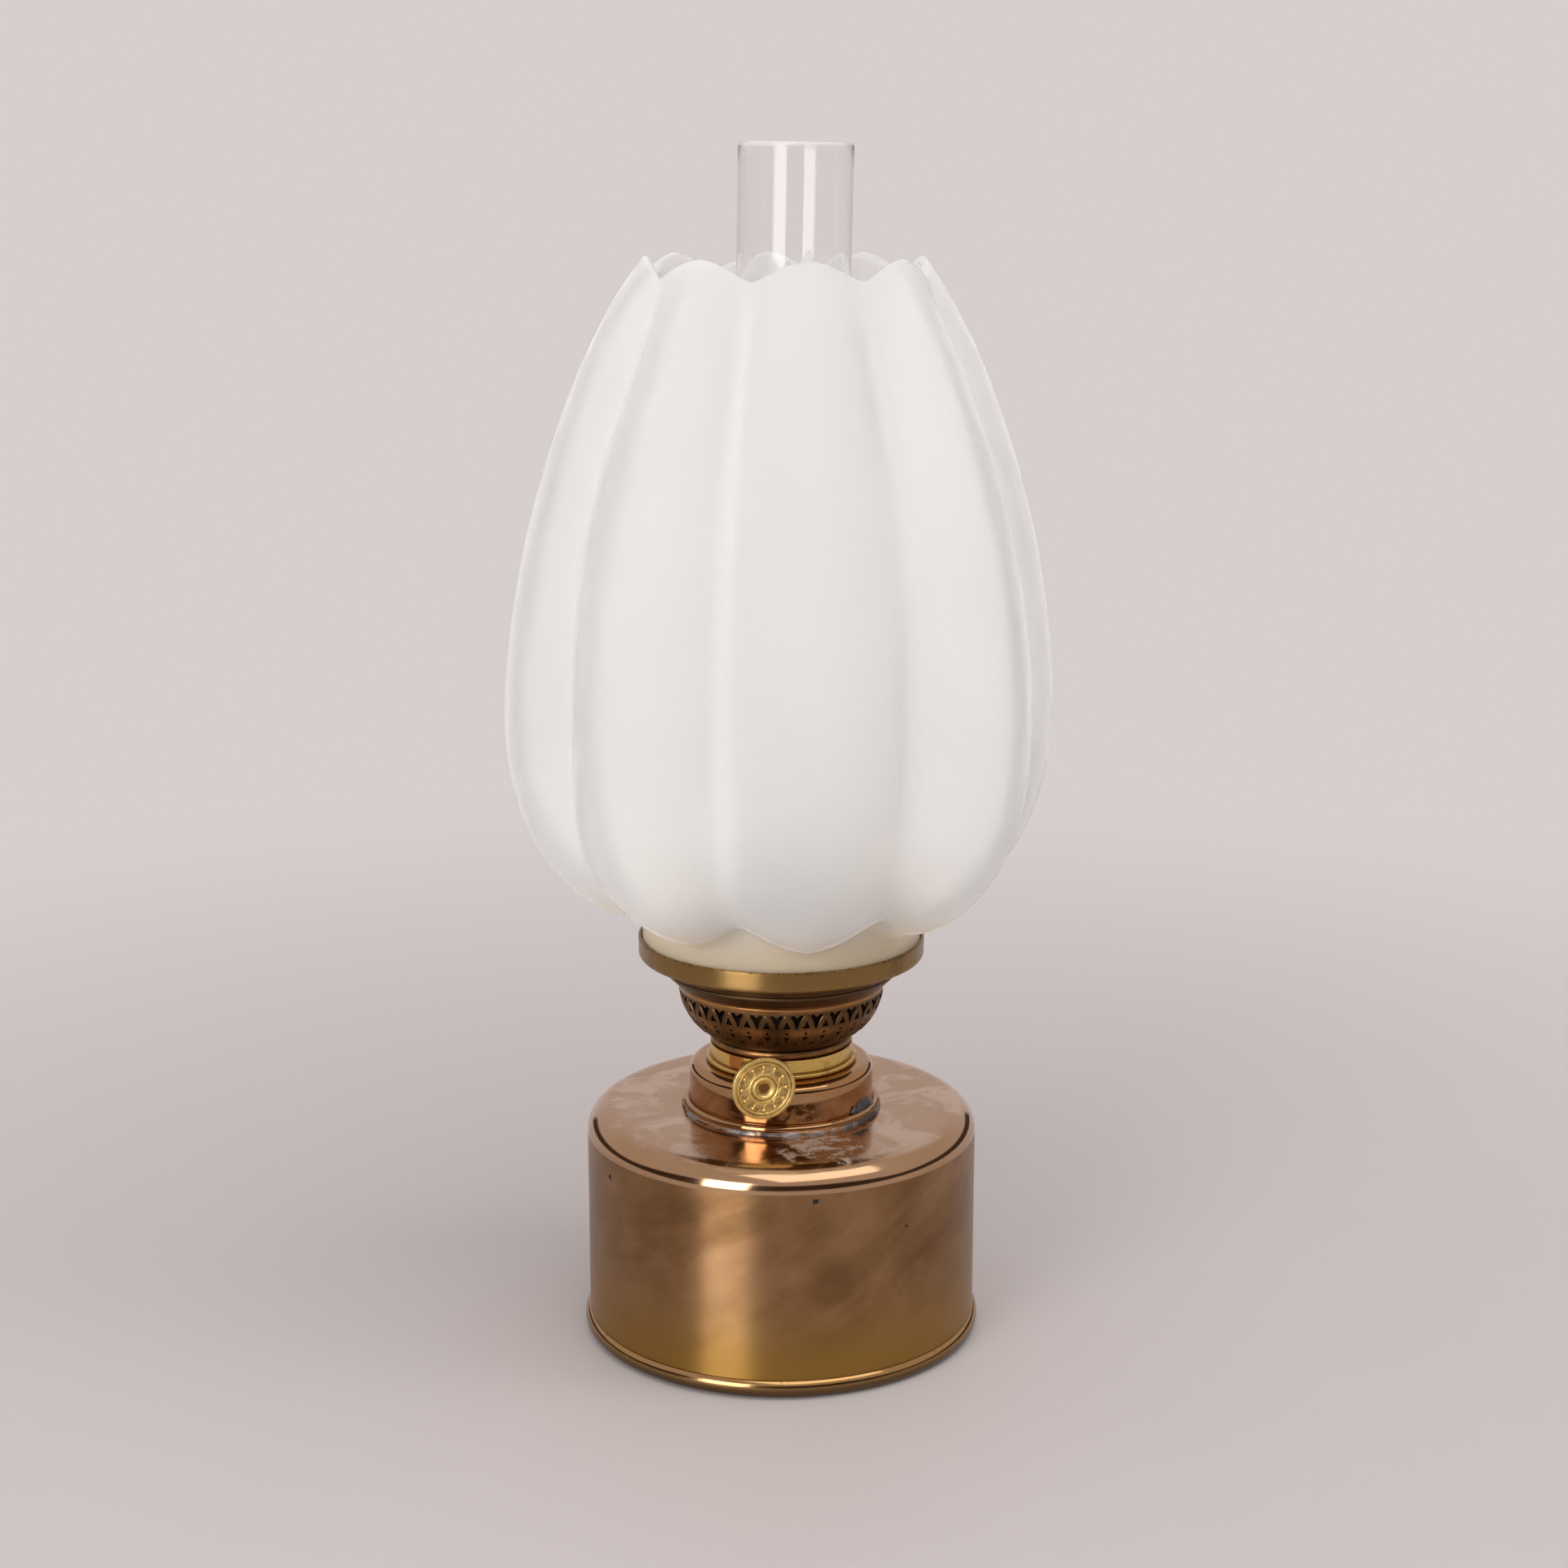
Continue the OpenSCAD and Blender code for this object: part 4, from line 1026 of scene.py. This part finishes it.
class LAMP_OT_wick(bpy.types.Operator):
    """Weave the round wick with its slot for the air inlet"""

    bl_idname = "lamp.wick"
    bl_label = "Wick"

    def execute(self, context):
        s = context.scene.lamp_metal
        foot, head = low("wick"), high("wick")
        thick, weft, ply_in, ply_deep = mm(2.6, 1.1, 0.1, 0.08)
        cords = 72
        half = s.wick_slot / 2
        bm = bmesh.new()
        edge = bm.edges.new([bm.verts.new((head.x, 0, z)) for z in (foot.z, head.z)])
        bmesh.ops.subdivide_edges(bm, edges=[edge], cuts=47)
        bmesh.ops.spin(bm, geom=everything(bm), angle=math.tau, steps=2 * cords, use_merge=True,
                       use_duplicate=False, **LAMP_AXIS)
        bmesh.ops.remove_doubles(bm, verts=bm.verts, dist=FINE_GAP)
        slice_by(bm, [((half, 0, 0), (1, 0, 0)), ((-half, 0, 0), (1, 0, 0)),
                      ((0, 0, s.wick_slot_z), (0, 0, 1))])
        middles = [(face, face.calc_center_median()) for face in bm.faces]
        slot = [face for face, at in middles if abs(at.x) < half and at.y > 0 and at.z < s.wick_slot_z]
        bmesh.ops.delete(bm, geom=slot, context="FACES")
        for vert in bm.verts:
            turn = math.atan2(vert.co.y, vert.co.x)
            ply = math.cos(cords * turn) * math.cos(vert.co.z / weft)
            inward = 1 - (ply_in - ply_deep * ply) / vert.co.xy.length
            vert.co.x *= inward
            vert.co.y *= inward
        bmesh.ops.recalc_face_normals(bm, faces=bm.faces)
        face_outwards(bm)
        bmesh.ops.solidify(bm, geom=bm.faces[:], thickness=thick)
        hand_over(bm, "wick_woven", "wick", "wick", "wick_cotton", paint_cotton, sharp=50)
        return {"FINISHED"}


def cubic(p, t):
    return (1 - t) ** 3 * p[0] + 3 * (1 - t) ** 2 * t * p[1] + 3 * (1 - t) * t ** 2 * p[2] + t ** 3 * p[3]


def slope(p, t):
    return 3 * (1 - t) ** 2 * (p[1] - p[0]) + 6 * (1 - t) * t * (p[2] - p[1]) + 3 * t ** 2 * (p[3] - p[2])


class ShadeCurve:
    """The half section of the shade along a lobe or a groove: a fitter and two cubics, then a round rim."""

    def __init__(self, foot, mid, tip, rise, low_pull, high_pull, lean):
        rise, lean = math.radians(rise), math.radians(lean)
        self.foot = foot
        self.lower = [foot, foot + low_pull[0] * MM * Vector((math.cos(rise), math.sin(rise))),
                      mid - Vector((0, low_pull[1] * MM)), mid]
        self.upper = [mid, mid + Vector((0, high_pull[0] * MM)),
                      tip + high_pull[1] * MM * Vector((math.sin(lean), -math.cos(lean))), tip]

    def at(self, curve, t, depth):
        way = slope(curve, t).normalized()
        return cubic(curve, t) - depth * Vector((way.y, -way.x))

    def side(self, depth, rows, rim):
        """Points from the foot to the rim at a depth in the glass."""
        bend, bend_rows = 0.12, 8
        x = self.foot.x - depth
        start = self.at(self.lower, bend, depth)
        corner = Vector((x, start.y - 0.2 * MM))
        post = Vector((x, self.foot.y - 5 * MM))
        points = [Vector((x, 0.8 * MM)), Vector((x, 3 * MM)), post]
        for k in range(1, bend_rows):
            t = k / bend_rows
            points.append((1 - t) ** 2 * post + 2 * (1 - t) * t * corner + t ** 2 * start)
        points += [self.at(self.lower, bend + (1 - bend) * k / rows, depth) for k in range(rows)]
        last = 1 - rim / (3 * (self.upper[3] - self.upper[2]).length)
        points += [self.at(self.upper, last * k / rows, depth) for k in range(rows + 1)]
        return points

    def loop(self, glass, rows=30, rim_rows=8):
        """The whole outline of the glass, from the foot up, over the rim and down the inside."""
        outer = self.side(0.0, rows, glass / 2)
        inner = self.side(glass, rows, glass / 2)
        middle = (outer[-1] + inner[-1]) / 2
        across = outer[-1] - middle
        up = Vector((-across.y, across.x))
        turns = [math.pi * k / rim_rows for k in range(1, rim_rows)]
        rim = [middle + across * math.cos(turn) + up * math.sin(turn) for turn in turns]
        sole = [Vector((inner[0].x + 0.5 * MM, 0)), Vector((outer[0].x - 0.5 * MM, 0))]
        return outer + rim + inner[::-1] + sole


class LAMP_OT_shade(bpy.types.Operator):
    """Blow the lobed shade"""

    bl_idname = "lamp.shade"
    bl_label = "Glass shade"

    def share(self, u):
        """Share of the lobe in a section: 1 on a lobe, 0 in a soft crease."""
        soft = 0.14

        def arch(w):
            w = math.hypot(w, soft) - soft
            return 2 * w - w * w

        return arch(1 - abs(u)) / arch(1)

    def execute(self, context):
        g = context.scene.lamp_glass
        lobe = ShadeCurve(
            Vector((g.fitter_r, g.fitter_h)), Vector((g.belly_r, g.belly_h)), Vector((g.tip_r, g.shade_h)),
            rise=2, low_pull=(18.4, 42.6), high_pull=(41.7, 35.5), lean=41).loop(g.glass)
        groove = ShadeCurve(
            Vector((g.fitter_r, g.fitter_h + g.fitter_scallop)),
            Vector((g.belly_r - g.groove_depth, g.belly_h + g.groove_lift)),
            Vector((g.tip_r + g.rim_out, g.shade_h - g.rim_scallop)),
            rise=18, low_pull=(35.7, 26.8), high_pull=(73.9, 38.5), lean=11.5).loop(g.glass)
        rows, columns, crowding = len(lobe), 36, 1.4
        around = columns * g.lobes
        bm = bmesh.new()
        bmesh.ops.create_grid(bm, x_segments=around, y_segments=rows, size=1.0)
        for vert in bm.verts:
            column = round((vert.co.x + 1) / 2 * around)
            row = round((vert.co.y + 1) / 2 * rows) % rows
            side = 2 * (column % columns) / columns - 1
            u = math.copysign(1 - (1 - abs(side)) ** crowding, side)
            turn = (2 * (column // columns) + u) * math.pi / g.lobes
            here = groove[row].lerp(lobe[row], self.share(u))
            vert.co = Vector((here.x * math.cos(turn), here.x * math.sin(turn), here.y))
        close_up(bm)
        stand = leaning(shade_seat(), g.fitter_r, g.shade_lean, g.lean_heading)
        bmesh.ops.transform(bm, matrix=stand @ Matrix.Rotation(g.shade_turn, 4, "Z"), verts=bm.verts)
        hand_over(bm, "glass_shade_blown", "shade", "glass_shade", "shade_glass", paint_frost, sharp=60)
        return {"FINISHED"}


class LAMP_OT_chimney(bpy.types.Operator):
    """Draw the chimney"""

    bl_idname = "lamp.chimney"
    bl_label = "Glass chimney"

    def execute(self, context):
        g = context.scene.lamp_glass
        edge, cone_h, flare_h = mm(0.6, 20, 12)
        cone_rows = 12
        narrowing = g.flue_foot - g.waist_r
        outer = [(g.flue_foot, 0), (g.flue_foot, g.waist_h - cone_h)]
        for row in range(1, cone_rows):
            share = row / cone_rows
            r = g.waist_r + narrowing * (1 + math.cos(math.pi * share)) / 2
            outer.append((r, g.waist_h - cone_h * (1 - share)))
        outer += [(g.waist_r, g.waist_h), (g.flue_r, g.waist_h + flare_h), (g.flue_r, g.flue_h)]
        inner = [(r - g.flue_t, z) for r, z in reversed(outer)]
        bm = bmesh.new()
        spin_section(bm, [(r, z, edge if z in (0, g.flue_h) else 0) for r, z in outer + inner],
                     steps=128, segments=5, rows=8 * MM)
        close_up(bm)
        stand = leaning(high("chimney_seat").z, g.flue_foot, g.flue_lean, g.lean_heading)
        bmesh.ops.transform(bm, matrix=stand, verts=bm.verts)
        hand_over(bm, "glass_chimney_drawn", "chimney", "glass_chimney", "chimney_glass", paint_clear,
                  sharp=60)
        return {"FINISHED"}


class LAMP_OT_works(bpy.types.Operator):
    """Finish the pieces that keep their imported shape"""

    bl_idname = "lamp.works"
    bl_label = "Burner works"

    def execute(self, context):
        for (name, paint), nodes in KEPT_NODES.items():
            for node in nodes:
                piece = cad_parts[node]
                piece.data.materials.clear()
                piece.data.materials.append(shared(name, paint))
                piece.data.shade_smooth()
                weld = piece.modifiers.new("weld", "WELD")
                weld.merge_threshold = 0.005 * MM
                split = piece.modifiers.new("edges", "EDGE_SPLIT")
                split.split_angle = math.radians(35)
        return {"FINISHED"}


class LAMP_OT_stage(bpy.types.Operator):
    """Set the floor, the lights and the camera"""

    bl_idname = "lamp.stage"
    bl_label = "Stage"

    def execute(self, context):
        scene = context.scene
        scene.view_settings.view_transform = "Standard"
        self.floor(scene.lamp_stage)
        self.dim_room(scene.lamp_stage)
        self.sky(scene)
        self.light("key_left", self.around(-46, 1.2, 0.37), wide=0.56, tall=0.7, radiance=6.6, mirrored=True)
        self.light("fill_right", self.around(66, 1.6, 0.8), wide=0.6, tall=0.7, radiance=3.6, mirrored=False)
        self.light("overhead", Vector((0.25, -0.7, 1.6)), wide=1.7, tall=1.2, radiance=1.7, mirrored=True)
        self.camera(scene)
        return {"FINISHED"}

    def around(self, heading, away, z):
        """A place at a heading in degrees from the front."""
        heading = math.radians(heading)
        return Vector((math.sin(heading) * away, -math.cos(heading) * away, z))

    def floor(self, p):
        bm = bmesh.new()
        bmesh.ops.create_circle(bm, segments=64, radius=p.floor_r, cap_ends=True)
        bmesh.ops.translate(bm, vec=(0, 0, -0.3 * MM), verts=bm.verts)
        add_object(bm, "floor", shared("floor_paper", paint_floor))

    def dim_room(self, p):
        """A dim card seen only in reflections: high in front, lower at the sides and open behind."""
        foot, top, drop = 0.02, 1.15, 0.6
        high_to, low_from = 47, 83
        middle = p.heading - math.radians(12)
        bm = bmesh.new()
        post = [bm.verts.new(self.around(-165, 2.6, z)) for z in (foot, top)]
        edge = bm.edges.new(post)
        bmesh.ops.spin(bm, geom=post + [edge], angle=math.radians(305), steps=36, use_merge=False,
                       use_duplicate=False, **LAMP_AXIS)
        for vert in [v for v in bm.verts if v.co.z > top / 2]:
            off = abs(math.atan2(vert.co.x, -vert.co.y) - middle)
            off = math.degrees(min(off, math.tau - off))
            vert.co.z -= drop * min(max((off - high_to) / (low_from - high_to), 0.0), 1.0)
        room = add_object(bm, "dim_room", shared("dim_room", paint_card))
        room.visible_camera = False
        room.visible_diffuse = False
        room.visible_transmission = False
        room.visible_shadow = False

    def sky(self, scene):
        """Even light on matt surfaces, and the plain background everywhere else."""
        scene.world = bpy.data.worlds.new("studio")
        f, c = Finish(scene.world), scene.lamp_colours
        glow = f.node("ShaderNodeBackground", None, {"Color": f.mix(f.seen(), c.daylight, c.backdrop)})
        f.node("ShaderNodeOutputWorld", None, {0: glow}, None)

    def light(self, name, place, wide, tall, radiance, mirrored):
        """A soft rectangle of light aimed at the lamp's middle."""
        data = bpy.data.lights.new(name, "AREA")
        data.shape = "RECTANGLE"
        data.size, data.size_y = wide, tall
        data.energy = radiance * math.pi * wide * tall
        made = bpy.data.objects.new(name, data)
        made.location = place
        made.rotation_euler = (Vector((0, 0, 0.12)) - place).to_track_quat("-Z", "Y").to_euler()
        made.visible_camera = False
        made.visible_glossy = mirrored
        bpy.context.scene.collection.objects.link(made)

    def camera(self, scene):
        p = scene.lamp_stage
        data = bpy.data.cameras.new("camera")
        data.lens = p.lens
        data.sensor_width = 36.0
        data.clip_start = 0.01
        made = bpy.data.objects.new("camera", data)
        made.location = self.around(math.degrees(p.heading), p.away, p.eye) + Vector((p.aside, 0, 0))
        made.rotation_euler = (p.tilt, 0, p.heading)
        scene.collection.objects.link(made)
        scene.camera = made


class LAMP_PT_panel(bpy.types.Panel):
    """Lists the pieces of the lamp"""

    bl_idname = "LAMP_PT_panel"
    bl_label = "Kerosene table lamp"
    bl_space_type = "VIEW_3D"
    bl_region_type = "UI"
    bl_category = "Lamp"

    def draw(self, context):
        for operator in OPERATORS:
            self.layout.operator(operator.bl_idname)


OPERATORS = (LAMP_OT_font, LAMP_OT_neck, LAMP_OT_gallery, LAMP_OT_holder, LAMP_OT_knob, LAMP_OT_wick,
             LAMP_OT_shade, LAMP_OT_chimney, LAMP_OT_works, LAMP_OT_stage)
SETTINGS = {"lamp_metal": MetalSizes, "lamp_glass": GlassSizes, "lamp_colours": Colours,
            "lamp_stage": Stage}
CLASSES = tuple(SETTINGS.values()) + OPERATORS + (LAMP_PT_panel,)


def register():
    for made in CLASSES:
        bpy.utils.register_class(made)
    for name, group in SETTINGS.items():
        setattr(bpy.types.Scene, name, PointerProperty(type=group))


def unregister():
    for name in SETTINGS:
        delattr(bpy.types.Scene, name)
    for made in reversed(CLASSES):
        bpy.utils.unregister_class(made)


def main():
    register()
    bpy.ops.lamp.font()
    bpy.ops.lamp.neck()
    bpy.ops.lamp.gallery()
    bpy.ops.lamp.holder()
    bpy.ops.lamp.knob()
    bpy.ops.lamp.wick()
    bpy.ops.lamp.shade()
    bpy.ops.lamp.chimney()
    bpy.ops.lamp.works()
    bpy.ops.lamp.stage()


if __name__ == "__main__":
    main()
